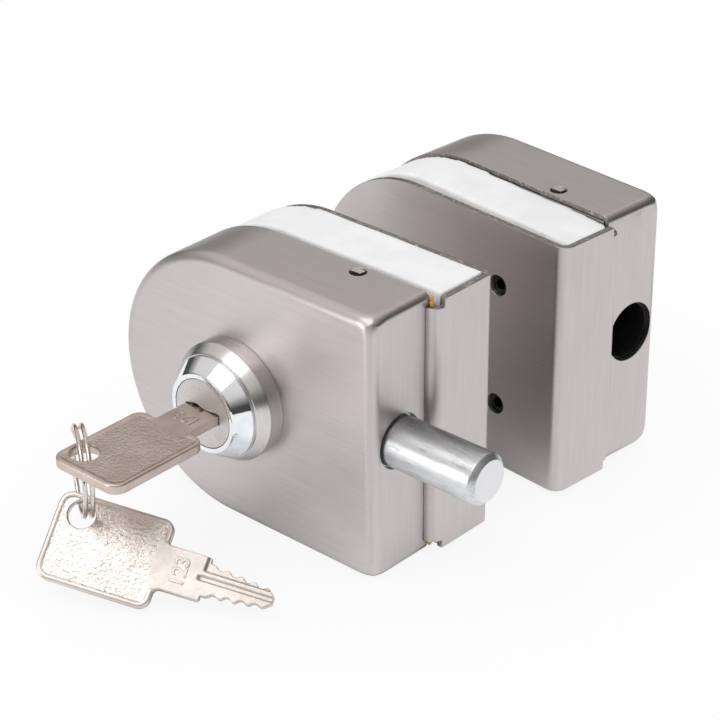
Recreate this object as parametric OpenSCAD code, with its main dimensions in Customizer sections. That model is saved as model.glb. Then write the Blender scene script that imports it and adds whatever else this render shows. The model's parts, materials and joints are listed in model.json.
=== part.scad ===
// Glass door lock with its strike, two keys and a split ring, in millimetres.
// Origin: on the ground under the middle of the lock's case. +X runs out along the bolt,
// +Y from the keyhole towards the glass, +Z up. The strike stands by itself behind the lock.
//
// Both halves share one unit space: x = 0 is the outer face of the case's flat end, with the
// case running to -x, y = 0 is the case's face, and z = 0 is its underside.

/* [Case] */
// Length of each case, from its round end to its flat end
case_w = 77; // [75:1:90]
// Height of each case
case_h = 65; // [63:1:74]
// Depth of each case, from its face to its open rim
case_d = 18.5; // [18.5:0.5:24]
// Thickness of the case's sheet
case_wall = 1.2; // [1:0.1:1.4]
// Radius of the pressed edges round the face
edge_r = 2.4; // [1.6:0.1:2.5]
// Radius of the flat end's upper and lower corners
corner_r = 1.9; // [1:0.1:2]

/* [Frame] */
// Thickness of the bent frame's sheet
frame_t = 1.5; // [1.2:0.1:1.8]
// Inside gap of the frame, which the glass and its pads share
slot_gap = 16.3; // [15:0.1:20]
// Distance of the frame's web outside the case's flat end
web_out = 3; // [2.6:0.1:4]
// Amount by which the web and clamp plate stop short of the case's height, at each end
web_short = 0.95; // [0.6:0.05:1.5]
// Height of the relief notch at each end of the bend
notch_h = 3; // [2.5:0.1:4]
// Outer radius of the corner between the lock's web and its clamp plate
lock_corner_r = 1.8; // [1.8:0.1:3]
// Outer radius of the same corner on the strike
strike_corner_r = 3; // [1.8:0.1:3.4]

/* [Pads] */
// Thickness of the glued glass pad
pad_t = 1.5; // [1:0.1:2]
// Thickness of the adhesive film behind the pad
glue_t = 0.3; // [0.2:0.05:0.4]
// Distance of the pad's outline inside the clamp plate's
pad_inset = 2; // [1:0.5:4]
// Distance of the foam blank's outline inside the case's
foam_inset = 0.5; // [0:0.5:4]
// Tilt of the strike's foam blank, which isn't pushed fully home
strike_foam_tilt = 1.2; // [0:0.1:1.5]

/* [Clamp] */
// Diameter of the socket set screws
set_screw_d = 5; // [4:0.5:6]
// Length of the set screws
set_screw_l = 3.5; // [3:0.5:4.5]
// Distance of the set screws from the case's flat end
set_screw_x = 17; // [14:0.5:22]
// Distance of the single set screw beyond the upper and lower ones
set_screw_pitch = 30; // [24:1:34]
// Distance of the upper and lower set screws from mid height
set_screw_rise = 15.5; // [10:0.5:17]
// Across-flats size of a set screw's socket
set_screw_hex = 2.5; // [2:0.5:3]
// Thickness of the steel pressure plate inside the frame
press_t = 1.5; // [1:0.1:2]
// Thickness of the rubber face on the pressure plate
press_pad_t = 1; // [0.8:0.1:1.5]
// Gap between the clamp plate and the tightened pressure plate
press_gap = 3; // [2.5:0.1:4]

/* [Bolt] */
// Diameter of the bolt
bolt_d = 12; // [10:0.5:13]
// Length of bolt outside the case when thrown
bolt_out = 25; // [20:0.5:28]
// Gap between the case's face sheet and the bolt
bolt_front_gap = 1.8; // [1.5:0.1:2.4]
// Chamfer at the bolt's nose
bolt_chamfer = 1.2; // [0.5:0.1:2]
// Amount by which the bolt is slimmer where it stays inside the case
bolt_relief = 0.6; // [0.05:0.05:1]
// Radial gap round the bolt in the case's flat end
bolt_hole_gap = 0.5; // [0.3:0.1:1]
// Diameter of the bolt's riveted spigot
spigot_d = 7; // [5:0.5:8]

/* [Drive] */
// Number of teeth on the pinion
pinion_teeth = 16; // [16:1:17]
// Module of the pinion and rack
gear_m = 1; // [0.9:0.05:1]
// Thickness of the rack carrier
rack_t = 3.6; // [3:0.1:4]
// Thickness of the carrier's upright that holds the bolt
carrier_t = 2.6; // [2:0.1:2.8]
// Half height of the rack carrier
rack_half = 13; // [12.5:0.1:15]
// Thickness of the chassis sheet
chassis_t = 1.5; // [1.2:0.1:1.6]
// Diameter of the chassis screws
chassis_screw_d = 3; // [2.5:0.5:4]

/* [Cylinder] */
// Distance of the cylinder's axis from the case's flat end
cyl_in = 40.5; // [40:0.5:44]
// Distance of the cylinder's rim in front of the case
cyl_out = 11; // [9:0.5:13]
// Diameter of the satin collar
collar_d = 28.5; // [27:0.5:32]
// Depth of the satin collar
collar_l = 6.6; // [5.5:0.1:7.5]
// Diameter of the chrome bezel at its foot
bezel_d = 24.4; // [23:0.1:26]
// Diameter of the bezel's front rim
rim_d = 19.4; // [19:0.1:20.5]
// Diameter of the plug's face
plug_face_d = 16.4; // [15:0.1:17]
// Diameter of the plug's body
plug_d = 13; // [12.4:0.1:13.4]
// Diameter of the cylinder's barrel
barrel_d = 18; // [16.5:0.5:18]
// Gap between the barrel's end and the pinion
barrel_gap = 2.1; // [2:0.1:2.6]
// Number of wafers
wafer_count = 5; // [3:1:5]
// Distance between wafers
wafer_pitch = 2.5; // [2.2:0.1:2.7]
// Thickness of a wafer
wafer_t = 1.1; // [0.8:0.1:1.2]

/* [Keys] */
// Length of a key's bow
bow_l = 26.5; // [24:0.5:30]
// Width of a key's bow
bow_w = 20.5; // [19:0.5:23]
// Thickness of a key's bow
bow_t = 2.5; // [2.2:0.1:2.8]
// Corner radius of a key's bow
bow_r = 3.2; // [2:0.1:4]
// Width of the smooth rim round the bow
bow_rim = 1; // [0.8:0.1:1.5]
// Depth of the pebbled field inside that rim
bow_sink = 0.25; // [0.15:0.05:0.4]
// Diameter of the hole in the bow
bow_hole_d = 6.2; // [6.2:0.1:7]
// Distance of the bow hole from the bow's far end
bow_hole_in = 5.9; // [5.5:0.1:7]
// Distance of the bow hole from the bow's near side
bow_hole_side = 4.6; // [4.6:0.1:6]
// Width of the shank between bow and blade
shank_w = 10; // [9.5:0.1:10.4]
// Length of the shank
shank_l = 10.2; // [9:0.1:12]
// Width of the blade
blade_w = 7.5; // [7:0.1:8]
// Length of the blade
blade_l = 15.5; // [13:0.5:16]
// Thickness of the blade and shank
blade_t = 2; // [1.8:0.1:2.2]
// Mean diameter of the split ring
ring_d = 20; // [20:0.5:22]
// Diameter of the split ring's wire
ring_wire = 1.1; // [0.8:0.1:1.2]
// Distance between the ring's two turns
ring_pitch = 1.6; // [1.55:0.05:1.7]

/* [Catches] */
// Distance of the catches from the case's flat end
catch_in = 18; // [17:0.5:24]
// Distance of the catch hole's centre from the case's rim
catch_back = 2.9; // [2.6:0.1:3.4]
// Diameter of the catch hole
catch_hole_d = 3.9; // [3.8:0.1:5]
// Length of the catch's lug along the case
lug_w = 2.7; // [2:0.1:3]
// Thickness of the catch's lug
lug_t = 1.8; // [1.2:0.1:2.2]
// Height of the upper lugs above the case
lug_proud = 0.35; // [0.2:0.05:0.6]
// Width of the spring leaf
leaf_w = 6; // [5:0.5:7]
// Thickness of the spring leaf
leaf_t = 0.6; // [0.4:0.1:0.7]
// Inward travel of a catch
catch_travel = 1; // [0.5:0.1:1.1]

/* [Strike] */
// Diameter of the bolt's hole in the strike
strike_hole_d = 14.5; // [14:0.5:14.8]
// Bore of the strike's plastic socket
socket_d = 13.4; // [13.2:0.1:13.6]
// Depth of the socket's bore
socket_l = 27; // [26:0.5:34]
// Wall at the socket's far end
socket_end = 1.6; // [1:0.1:3]
// Half height of the socket block
socket_half = 9.5; // [8.5:0.5:10]
// Distance of the strike to the right of the lock's flat end
strike_right = 5; // [0:1:20]
// Distance of the strike's clamp plate behind the lock's face
strike_back = 55.2; // [50:0.5:80]
// Turn of the strike about its own corner
strike_turn = -4.5; // [-8:0.5:0]

/* [Hidden] */
$fn = 72;

// Clearances: a seated piece, a running shaft, a sliding piece and a loose piece
seat_gap = 0.05;
run_gap = 0.08;
slide_gap = 0.2;
loose_gap = 0.3;
// Room that the parts inside leave for the bend of the case's front edge
corner_ease = 0.5;
// Overshoot of a cutting solid past the face that it cuts
cut = 1;

mid_z = case_h / 2;
round_x = -case_w + case_h / 2;
plate_y = case_d - frame_t;
slot_y = case_d;
slot_end = slot_y + slot_gap;
unit_d = slot_end + frame_t;
web_x = web_out - frame_t;
bend_y = plate_y + web_out;

bolt_r = bolt_d / 2;
bolt_y = case_wall + bolt_front_gap + bolt_r;
chassis_y = plate_y - chassis_t;
rack_y = chassis_y - slide_gap - rack_t;
pitch_r = gear_m * pinion_teeth / 2;
tooth_top = pitch_r + gear_m;
tooth_root = pitch_r - 1.25 * gear_m;
rack_tip = pitch_r - 0.85 * gear_m;
rack_root = pitch_r + 1.25 * gear_m;
backlash = 0.12;
pressure_angle = 20;
upright_x = -case_wall - 0.1;
carrier_x = upright_x - chassis_t - slide_gap;
bolt_full_x = 0.5;
rack_end = -cyl_in - 2 * PI * gear_m;
lip_z = rack_half + slide_gap;
lip_return = 3;
screw_head_d = chassis_screw_d * 1.8;
screw_head_h = chassis_screw_d * 0.45;
chassis_left = rack_end - pitch_r - tooth_top;
ear_rise = lip_z + chassis_t + chassis_screw_d;
ear_xs = [chassis_left + tooth_top, upright_x - 1.6 * screw_head_d];

cyl_x = -cyl_in;
barrel_in = rack_y - barrel_gap;
bezel_y = -collar_l;
bezel_lip = 0.8;
cap_l = 3.5;
cap_y = -cyl_out + 0.1;
plug_end = rack_y - 0.5;
plug_ring_t = 0.8;
tail_flat = 5.6;
tail_d = 7;
journal_d = 6;
clip_t = 1;
clip_depth = 1;
keyway_gap = 0.2;
mouth_depth = 1;
wave_rise = 0.55;
groove_w = 1.2;
groove_t = 0.4;
groove_lead = 2.3;
wafer_first = cap_y + cap_l + 1.4;
wafer_w = 5.4;
wafer_play = 0.5;
wafer_pocket = 1.8;
coil_wire = 0.28;
coil_r = 0.62;
coil_turns = 4;
coil_l = 4.4;

// Cuts along each edge of the blade, from shank to tip, in depth
blade_cuts = [0.3, 1.1, 0.6, 1.3, 0.4, 0.9];
key_bow_y = cap_y - shank_l + 0.8;
ring_heading = 145;
ring_reach = 6.3;
ring_drop = 7.1;
ring_turns = 2;
ring_jog = 44;
ring_jog_at = 20;
key_2_at = [-50.1, -39.2, 15.2];
key_2_turn = [-47.4, 9.6, 25.7];

press_corner_r = 3;
press_margin = 6;
press_pad_inset = 0.5;
press_y = slot_end - press_gap - press_t;
press_half = set_screw_rise + press_margin;
press_left = set_screw_x + set_screw_pitch + press_margin;
press_right = set_screw_x - press_margin;
foam_pocket_gap = 1.4;

glue_margin = 0.6;
film_gap = 0.02;
bend_inside = -seat_gap;
strike_corner_inside = web_out - strike_corner_r - seat_gap;

socket_ear = 7;
lug_y = case_d - catch_back;
leaf_y = plate_y - slide_gap - leaf_t;
leaf_top = case_h - case_wall - 1;
leaf_clear = 2.3;
leaf_foot = mid_z + socket_half + socket_ear + leaf_clear;
rivet_z = leaf_foot + 3;
rivet_d = 2;
rivet_head_d = 3.6;
rivet_head_t = 0.8;
lug_flush = -0.05;

socket_front = case_wall + slide_gap;
socket_x = -case_wall - slide_gap;
socket_left = socket_x - socket_l - socket_end;
socket_ear_t = 3.5;
socket_screw_xs = [socket_x - 7, socket_left + 7];

steel = "#b9b5b3";
satin = "#c9c6c3";
chrome = "#dfe2e6";
zinc = "#aeb4ba";
nickel = "#b7aa9b";
white = "#f4f4f6";
amber = "#d8a93a";
brass = "#b99a55";
black = "#17171a";
dark_steel = "#6c6e72";

// Places
module in_lock() { translate([case_w / 2, -case_d / 2, 0]) children(); }
module in_strike()
{
    in_lock() translate([strike_right, strike_back, 0]) rotate([0, 0, strike_turn])
        translate([0, unit_d, case_h]) rotate([180, 0, 0]) children();
}
module at_cylinder() { translate([cyl_x, 0, mid_z]) rotate([-90, 0, 0]) children(); }
module at_bolt() { translate([0, bolt_y, mid_z]) rotate([0, 90, 0]) children(); }
module flipped() { translate([0, 0, case_h]) mirror([0, 0, 1]) children(); }
// An outline drawn in x and z, made solid from y = from over a thickness
module slab(from, thick)
{
    translate([0, from + thick, 0]) rotate([90, 0, 0]) linear_extrude(thick) children();
}
module y_hole(x, z, from, to, d)
{
    translate([x, from, z]) rotate([-90, 0, 0]) cylinder(h = to - from, d = d);
}
module box(low, high) { translate(low) cube(high - low); }

// Outlines
// The D of a case or plate: a half-round left end and a square right end at x = right
module d_outline(inset, right)
{
    translate([round_x, mid_z]) circle(r = mid_z - inset);
    translate([round_x, inset]) square([right - round_x, case_h - 2 * inset]);
}
module rounded_rect(l, w, r)
{
    translate([0, r]) square([l, w - 2 * r]);
    translate([r, 0]) square([l - 2 * r, w]);
    for (x = [r, l - r], y = [r, w - r])
        translate([x, y]) circle(r = r, $fn = 48);
}
// A rectangle whose two corners at x = 0 are rounded
module front_rounded(d, w, r)
{
    translate([r, 0]) square([d - r, w]);
    translate([0, r]) square([r, w - 2 * r]);
    for (y = [r, w - r])
        translate([r, y]) circle(r = r, $fn = 48);
}

// The case's solid form, or the hollow inside it when inset by the wall
module case_form(inset, depth, round_edge, round_corner)
{
    r = mid_z - inset;
    len = -round_x - inset;
    union() {
        translate([round_x, inset, mid_z]) rotate([-90, 0, 0]) rotate([0, 0, 90])
            rotate_extrude(angle = 180, $fn = 128) {
                square([r - round_edge, depth]);
                translate([0, round_edge]) square([r, depth - round_edge]);
                translate([r - round_edge, round_edge]) intersection() {
                    circle(r = round_edge, $fn = 48);
                    translate([0, -round_edge]) square([round_edge, round_edge]);
                }
            }
        intersection() {
            translate([round_x, inset, inset]) rotate([90, 0, 90]) linear_extrude(len)
                front_rounded(depth, 2 * r, round_edge);
            translate([-inset, inset, 0]) rotate([0, 0, 90]) linear_extrude(case_h)
                front_rounded_side(depth, len + case_h, round_edge);
            slab(inset, depth) translate([round_x - case_h, 0])
                end_rounded(case_h + len, 2 * r, round_corner, inset);
        }
    }
}
// Seen from above: depth along x, with only the corner at the origin rounded
module front_rounded_side(d, l, r)
{
    translate([r, 0]) square([d - r, l]);
    translate([0, r]) square([r, l - r]);
    translate([r, r]) circle(r = r, $fn = 48);
}
// Seen from the front: only the two corners at the right are rounded
module end_rounded(l, w, r, low)
{
    translate([0, low]) square([l - r, w]);
    translate([0, low + r]) square([l, w - 2 * r]);
    for (y = [low + r, low + w - r])
        translate([l - r, y]) circle(r = r, $fn = 48);
}

module case_shell()
{
    inner_edge = max(edge_r - case_wall, 0.3);
    inner_corner = max(corner_r - case_wall, 0.3);
    difference() {
        case_form(0, case_d, edge_r, corner_r);
        case_form(case_wall, case_d - case_wall + cut, inner_edge, inner_corner);
        // Cut-back in the flat end, where the frame's sheet comes out
        box([-case_wall - cut, plate_y - seat_gap, notch_h], [cut, case_d + cut, case_h - notch_h]);
        for (side = [0, 1]) mirror_z(side)
            translate([-catch_in, lug_y, case_h - case_wall - cut])
                cylinder(h = case_wall + 2 * cut, d = catch_hole_d);
    }
}
module mirror_z(on)
{
    if (on == 1) flipped() children();
    else children();
}

// One bent sheet: the plate in the case's rim, the bend, the web and the clamp plate
module frame_sheet(corner)
{
    inner = corner - frame_t;
    neck = case_wall + 0.4;
    plate_in = case_wall + slide_gap;
    difference() {
        union() {
            slab(plate_y, frame_t) d_outline(plate_in, -neck);
            box([-neck, plate_y, notch_h + seat_gap], [0, case_d, case_h - notch_h - seat_gap]);
            translate([0, bend_y, notch_h + seat_gap]) rotate([0, 0, -90])
                rotate_extrude(angle = 90)
                    translate([web_x, 0]) square([frame_t, case_h - 2 * notch_h - 2 * seat_gap]);
            box([web_x, bend_y, web_short], [web_out, unit_d - corner, case_h - web_short]);
            translate([web_out - corner, unit_d - corner, web_short])
                rotate_extrude(angle = 90)
                    translate([inner, 0]) square([frame_t, case_h - 2 * web_short]);
            slab(slot_end, frame_t) d_outline(web_short, web_out - corner);
        }
        screw_spots() y_hole(0, 0, slot_end - cut, unit_d + cut, set_screw_d + 2 * run_gap);
        for (side = [0, 1]) mirror_z(side)
            y_hole(-catch_in, rivet_z, plate_y - cut, case_d + cut, rivet_d);
    }
}
module screw_spots()
{
    for (spot = [[0, -1], [0, 1], [1, 0]])
        translate([-set_screw_x - spot[0] * set_screw_pitch, 0, mid_z + spot[1] * set_screw_rise])
            children();
}
module set_screws()
{
    screw_spots() difference() {
        y_hole(0, 0, press_y + press_t, press_y + press_t + set_screw_l, set_screw_d);
        translate([0, press_y + press_t + set_screw_l / 2, 0]) rotate([-90, 0, 0])
            cylinder(h = set_screw_l, d = set_screw_hex / cos(30), $fn = 6);
    }
}
module pressure_outline(grow)
{
    translate([-press_left - grow, mid_z - press_half - grow])
        rounded_rect(press_left - press_right + 2 * grow, 2 * (press_half + grow), press_corner_r);
}
module pressure_plate() { slab(press_y, press_t) pressure_outline(0); }
module pressure_pad() { slab(press_y - press_pad_t, press_pad_t) pressure_outline(-press_pad_inset); }

// The foam blank that fills the slot until a door does. Its pocket lets it slide out over
// the pressure plate towards the round end.
module foam_blank(from, to, lean)
{
    pocket_y = press_y - press_pad_t - loose_gap;
    inside_bend = bend_y + slide_gap;
    difference() {
        union() {
            slab(from, to - from) d_outline(foam_inset, bend_inside - loose_gap - lean);
            slab(max(from, inside_bend), to - max(from, inside_bend))
                d_outline(foam_inset, web_x - loose_gap - lean);
        }
        box([-press_left - foam_pocket_gap, pocket_y, mid_z - press_half - foam_pocket_gap],
            [web_x + cut, to + cut, mid_z + press_half + foam_pocket_gap]);
    }
}
module glass_pad(from, right)
{
    slab(from, pad_t) d_outline(pad_inset + web_short, right);
}
module adhesive(from, right)
{
    slab(from, glue_t) d_outline(pad_inset + web_short - glue_margin, right);
}

// A spring leaf riveted to the frame's plate, with a lug through the case's wall
module catch_leaf(proud)
{
    slot_l = catch_travel + 0.2;
    difference() {
        union() {
            box([-catch_in - leaf_w / 2, leaf_y, leaf_foot],
                [-catch_in + leaf_w / 2, leaf_y + leaf_t, leaf_top]);
            box([-catch_in - leaf_w / 2, lug_y - lug_t, leaf_top - leaf_t],
                [-catch_in + leaf_w / 2, leaf_y + leaf_t, leaf_top]);
            box([-catch_in - lug_w / 2, lug_y - lug_t / 2, leaf_top - leaf_t],
                [-catch_in + lug_w / 2, lug_y + lug_t / 2, case_h + proud]);
        }
        y_hole(-catch_in, rivet_z, leaf_y - cut, leaf_y + cut, rivet_d + 0.3);
        y_hole(-catch_in, rivet_z + slot_l, leaf_y - cut, leaf_y + cut, rivet_d + 0.3);
        box([-catch_in - rivet_d / 2 - 0.15, leaf_y - cut, rivet_z],
            [-catch_in + rivet_d / 2 + 0.15, leaf_y + cut, rivet_z + slot_l]);
    }
}
module catch_rivets()
{
    head_y = leaf_y - slide_gap - rivet_head_t;
    for (side = [0, 1]) mirror_z(side) {
        y_hole(-catch_in, rivet_z, head_y + rivet_head_t, case_d, rivet_d);
        y_hole(-catch_in, rivet_z, head_y, head_y + rivet_head_t, rivet_head_d);
    }
}

// Lock half
module lock_case()
{
    color(steel) in_lock() difference() {
        case_shell();
        y_hole(cyl_x, mid_z, -cut, case_wall + cut, barrel_d + 2 * seat_gap);
        translate([-case_wall - cut, 0, 0]) at_bolt()
            cylinder(h = case_wall + 2 * cut, r = bolt_r + bolt_hole_gap);
    }
}
module lock_frame()
{
    color(steel) in_lock() difference() {
        frame_sheet(lock_corner_r);
        chassis_screw_spots() y_hole(0, 0, plate_y - cut, case_d + cut, chassis_screw_d);
    }
}
module lock_glass_pad()
{
    color(white) in_lock() glass_pad(slot_y + glue_t + 2 * film_gap, bend_inside);
}
module lock_adhesive() { color(amber) in_lock() adhesive(slot_y + film_gap, bend_inside); }
module lock_foam_blank()
{
    color(white) in_lock() foam_blank(slot_y + glue_t + pad_t + slide_gap, slot_end - slide_gap, 0);
}
module lock_pressure_plate() { color(dark_steel) in_lock() pressure_plate(); }
module lock_pressure_pad() { color(black) in_lock() pressure_pad(); }
module lock_set_screws() { color(dark_steel) in_lock() set_screws(); }
module lock_upper_catch() { color(zinc) in_lock() catch_leaf(lug_proud); }
module lock_lower_catch() { color(zinc) in_lock() flipped() catch_leaf(lug_flush); }
module lock_catch_rivets() { color(zinc) in_lock() catch_rivets(); }

module chassis_screw_spots()
{
    for (x = ear_xs, z = [-1, 1])
        translate([x, 0, mid_z + z * ear_rise]) children();
}
// Pressed chassis: a back with two lips that hold the carrier, and an upright for the bolt
module chassis()
{
    guide_half = bolt_r + 3.5;
    color(zinc) in_lock() difference() {
        union() {
            box([chassis_left, chassis_y, mid_z - lip_z - chassis_t],
                [upright_x, plate_y, mid_z + lip_z + chassis_t]);
            for (side = [-1, 1]) translate([0, 0, mid_z]) scale_z(side) {
                box([chassis_left, rack_y - slide_gap, lip_z],
                    [carrier_x - carrier_t, plate_y, lip_z + chassis_t]);
                box([chassis_left, rack_y - slide_gap - chassis_t, lip_z - lip_return],
                    [carrier_x - carrier_t, rack_y - slide_gap, lip_z + chassis_t]);
            }
            box([upright_x - chassis_t, case_wall + slide_gap + corner_ease, mid_z - guide_half],
                [upright_x, plate_y, mid_z + guide_half]);
            chassis_screw_spots() y_hole(0, 0, chassis_y, plate_y, screw_head_d + 2);
        }
        translate([upright_x - chassis_t - cut, 0, 0]) at_bolt()
            cylinder(h = chassis_t + 2 * cut, r = bolt_r + run_gap);
        y_hole(cyl_x, mid_z, chassis_y - cut, plate_y + cut, journal_d + 2 * run_gap);
        chassis_screw_spots() y_hole(0, 0, chassis_y - cut, plate_y + cut, chassis_screw_d);
    }
}
module scale_z(side)
{
    if (side < 0) mirror([0, 0, 1]) children();
    else children();
}
module chassis_screws()
{
    color(zinc) in_lock() chassis_screw_spots() difference() {
        union() {
            y_hole(0, 0, chassis_y, case_d, chassis_screw_d);
            y_hole(0, 0, chassis_y - screw_head_h, chassis_y, screw_head_d);
        }
        cross_slot(chassis_y - screw_head_h);
    }
}
module cross_slot(face_y)
{
    for (a = [0, 90]) translate([0, face_y, 0]) rotate([0, a, 0])
        box([-screw_head_d / 3, -cut, -0.3], [screw_head_d / 3, screw_head_h / 2, 0.3]);
}

// Cylinder
module cylinder_collar()
{
    shoulder = (collar_d - bezel_d) / 2;
    straight = collar_l * 0.55;
    color(satin) in_lock() at_cylinder() translate([0, 0, -collar_l]) difference() {
        rotate_extrude($fn = 128) {
            translate([0, collar_l - straight]) square([collar_d / 2, straight]);
            square([bezel_d / 2 + 0.1, collar_l]);
            translate([collar_d / 2 - shoulder, collar_l - straight]) intersection() {
                circle(r = shoulder, $fn = 64);
                translate([0, -shoulder]) square([shoulder, shoulder]);
            }
        }
        translate([0, 0, -cut]) cylinder(h = collar_l + 2 * cut, d = barrel_d + 2 * seat_gap);
    }
}
module cylinder_housing()
{
    color(chrome) in_lock() at_cylinder() difference() {
        rotate_extrude($fn = 128) polygon([
            [plug_d / 2 + run_gap, barrel_in], [barrel_d / 2, barrel_in],
            [barrel_d / 2, bezel_y], [bezel_d / 2, bezel_y],
            [bezel_d / 2, bezel_y - bezel_lip], [rim_d / 2, -cyl_out + 0.2],
            [rim_d / 2 - 0.2, -cyl_out], [plug_face_d / 2 + run_gap, -cyl_out],
            [plug_face_d / 2 + run_gap, cap_y + cap_l + run_gap],
            [plug_d / 2 + run_gap, cap_y + cap_l + run_gap]]);
        difference() {
            translate([0, 0, case_wall + seat_gap]) cylinder(h = clip_t + seat_gap, d = collar_d);
            cylinder(h = case_h, d = barrel_d - 2 * clip_depth, center = true);
        }
    }
}
// Horseshoe clip behind the case's face sheet, open downwards
module cylinder_clip()
{
    inner_r = barrel_d / 2 - clip_depth + seat_gap;
    color(zinc) in_lock() slab(case_wall + seat_gap, clip_t) translate([cyl_x, mid_z])
        difference() {
            circle(d = barrel_d + 6);
            circle(r = inner_r);
            translate([-inner_r, -case_h]) square([2 * inner_r, case_h]);
        }
}
module plug_blank()
{
    rotate_extrude($fn = 96) polygon([[0, cap_y], [plug_face_d / 2, cap_y],
        [plug_face_d / 2, cap_y + cap_l], [plug_d / 2, cap_y + cap_l],
        [plug_d / 2, barrel_in + 0.2], [plug_d / 2 - 0.8, barrel_in + 0.2],
        [plug_d / 2 - 0.8, barrel_in + 0.2 + plug_ring_t + seat_gap],
        [plug_d / 2, barrel_in + 0.2 + plug_ring_t + seat_gap],
        [plug_d / 2, plug_end], [0, plug_end]]);
}
module cylinder_plug()
{
    tail_end = rack_y + rack_t;
    color(nickel) in_lock() difference() {
        union() {
            at_cylinder() plug_blank();
            intersection() {
                y_hole(cyl_x, mid_z, plug_end - cut, tail_end, tail_d);
                box([cyl_x - tail_flat / 2, plug_end - cut, 0],
                    [cyl_x + tail_flat / 2, tail_end, case_h]);
            }
            y_hole(cyl_x, mid_z, tail_end, plate_y - seat_gap, journal_d);
        }
        keyway();
        for (i = [0 : wafer_count - 1]) {
            y = wafer_first + i * wafer_pitch;
            box([cyl_x - plug_d, y - wafer_t / 2 - 0.1, mid_z - wafer_w / 2 - 0.1],
                [cyl_x + plug_d, y + wafer_t / 2 + 0.1, mid_z + wafer_w / 2 + 0.1]);
            box([cyl_x - coil_l / 2 - 0.3, y - coil_r - coil_wire, mid_z + wafer_w / 2 - 0.1],
                [cyl_x + coil_l / 2 + 0.3, y + coil_r + coil_wire,
                    mid_z + wafer_w / 2 + wafer_pocket]);
        }
    }
}
// A wide mouth for the shank, with a wavy upper edge, then the narrow slot for the blade
function keyway_wave(side) = wave_rise * (0.5 - 0.5 * cos(360 * (side + 1) / 1.25)) * (1 - 0.4 * side);
module keyway()
{
    half = blade_t / 2 + keyway_gap;
    mouth = shank_w / 2 + keyway_gap;
    slot = blade_w / 2 + keyway_gap;
    difference() {
        union() {
            slab(-cyl_out - cut, cap_y + cyl_out + cut + mouth_depth) translate([cyl_x, mid_z])
                polygon(concat([[-mouth, -half]],
                    [for (i = [0 : 12]) [mouth * (i / 6 - 1), half + keyway_wave(i / 6 - 1)]],
                    [[mouth, -half]]));
            box([cyl_x - slot, -cyl_out - cut, mid_z - half],
                [cyl_x + slot, cap_y + blade_l + 2, mid_z + half]);
        }
        for (side = [-1, 1]) translate([0, 0, mid_z]) scale_z(side)
            box([cyl_x - groove_w / 2 + 0.25, cap_y + 1.1, half - groove_t / 2 - keyway_gap],
                [cyl_x + groove_w / 2 - 0.25, cap_y + blade_l + 3, half + cut]);
    }
}
module plug_ring()
{
    r = plug_d / 2 - 0.8 + seat_gap;
    color(zinc) in_lock() slab(barrel_in + 0.2, plug_ring_t) translate([cyl_x, mid_z])
        difference() {
            circle(d = plug_d + 3);
            circle(r = r);
            translate([-r * 0.8, 0]) square([r * 1.6, case_h]);
        }
}
module wafers()
{
    color(brass) in_lock() for (i = [0 : wafer_count - 1])
        slab(wafer_first + i * wafer_pitch - wafer_t / 2, wafer_t) translate([cyl_x, mid_z])
            difference() {
                intersection() {
                    circle(d = plug_d - 0.2);
                    square([plug_d, wafer_w], center = true);
                }
                square([blade_w + wafer_play, blade_t + wafer_play], center = true);
            }
}

// A wound wire along x as one closed tube: 8 rings a turn, 6 sides
function helix_point(i, n, r, l, turns) =
    let (a = 360 * turns * i / n) [l * i / n - l / 2, r * cos(a), r * sin(a)];
function unit(v) = v / norm(v);
function tube_ring(p, t, wire, up) =
    let (u = unit(cross(t, up)), w = cross(u, t))
        [for (k = [0 : 5]) p + wire / 2 * (cos(60 * k) * u + sin(60 * k) * w)];
// Least clear distance between parts of a wound wire that are more than skip points apart
function least_gap(points, wire, skip) = min([for (i = [0 : len(points) - 1 - skip])
    for (j = [i + skip : len(points) - 1]) norm(points[i] - points[j])]) - wire;
module wound_tube(points, wire, up)
{
    n = len(points) - 1;
    rings = [for (i = [0 : n])
        tube_ring(points[i], unit(points[min(i + 1, n)] - points[max(i - 1, 0)]), wire, up)];
    verts = [for (r = rings) for (p = r) p];
    sides = [for (i = [0 : n - 1]) for (k = [0 : 5])
        let (a = 6 * i + k, b = 6 * i + (k + 1) % 6)
        for (f = [[a, b, a + 6], [b, b + 6, a + 6]]) f];
    caps = [for (k = [1 : 4]) for (f = [[0, k + 1, k], [6 * n, 6 * n + k, 6 * n + k + 1]]) f];
    polyhedron(verts, concat(sides, caps));
}
module wafer_springs()
{
    n = 8 * coil_turns;
    coil = [for (i = [0 : n]) helix_point(i, n, coil_r, coil_l - coil_wire, coil_turns)];
    echo(wafer_spring_least_gap = least_gap(coil, coil_wire, 5));
    color(zinc) in_lock() for (i = [0 : wafer_count - 1])
        translate([cyl_x, wafer_first + i * wafer_pitch,
            mid_z + wafer_w / 2 + coil_r + coil_wire / 2 + 0.1])
            wound_tube(coil, coil_wire, [1, 0, 0]);
}

// Drive
function deg(a) = a * 180 / PI;
function involute_turn(a) = deg(tan(a)) - a;
base_r = pitch_r * cos(pressure_angle);
function half_tooth(r) = 90 / pinion_teeth - deg(backlash / 4 / pitch_r)
    + involute_turn(pressure_angle) - involute_turn(acos(min(1, base_r / r)));
function polar(r, a) = r * [cos(a), sin(a)];
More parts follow.
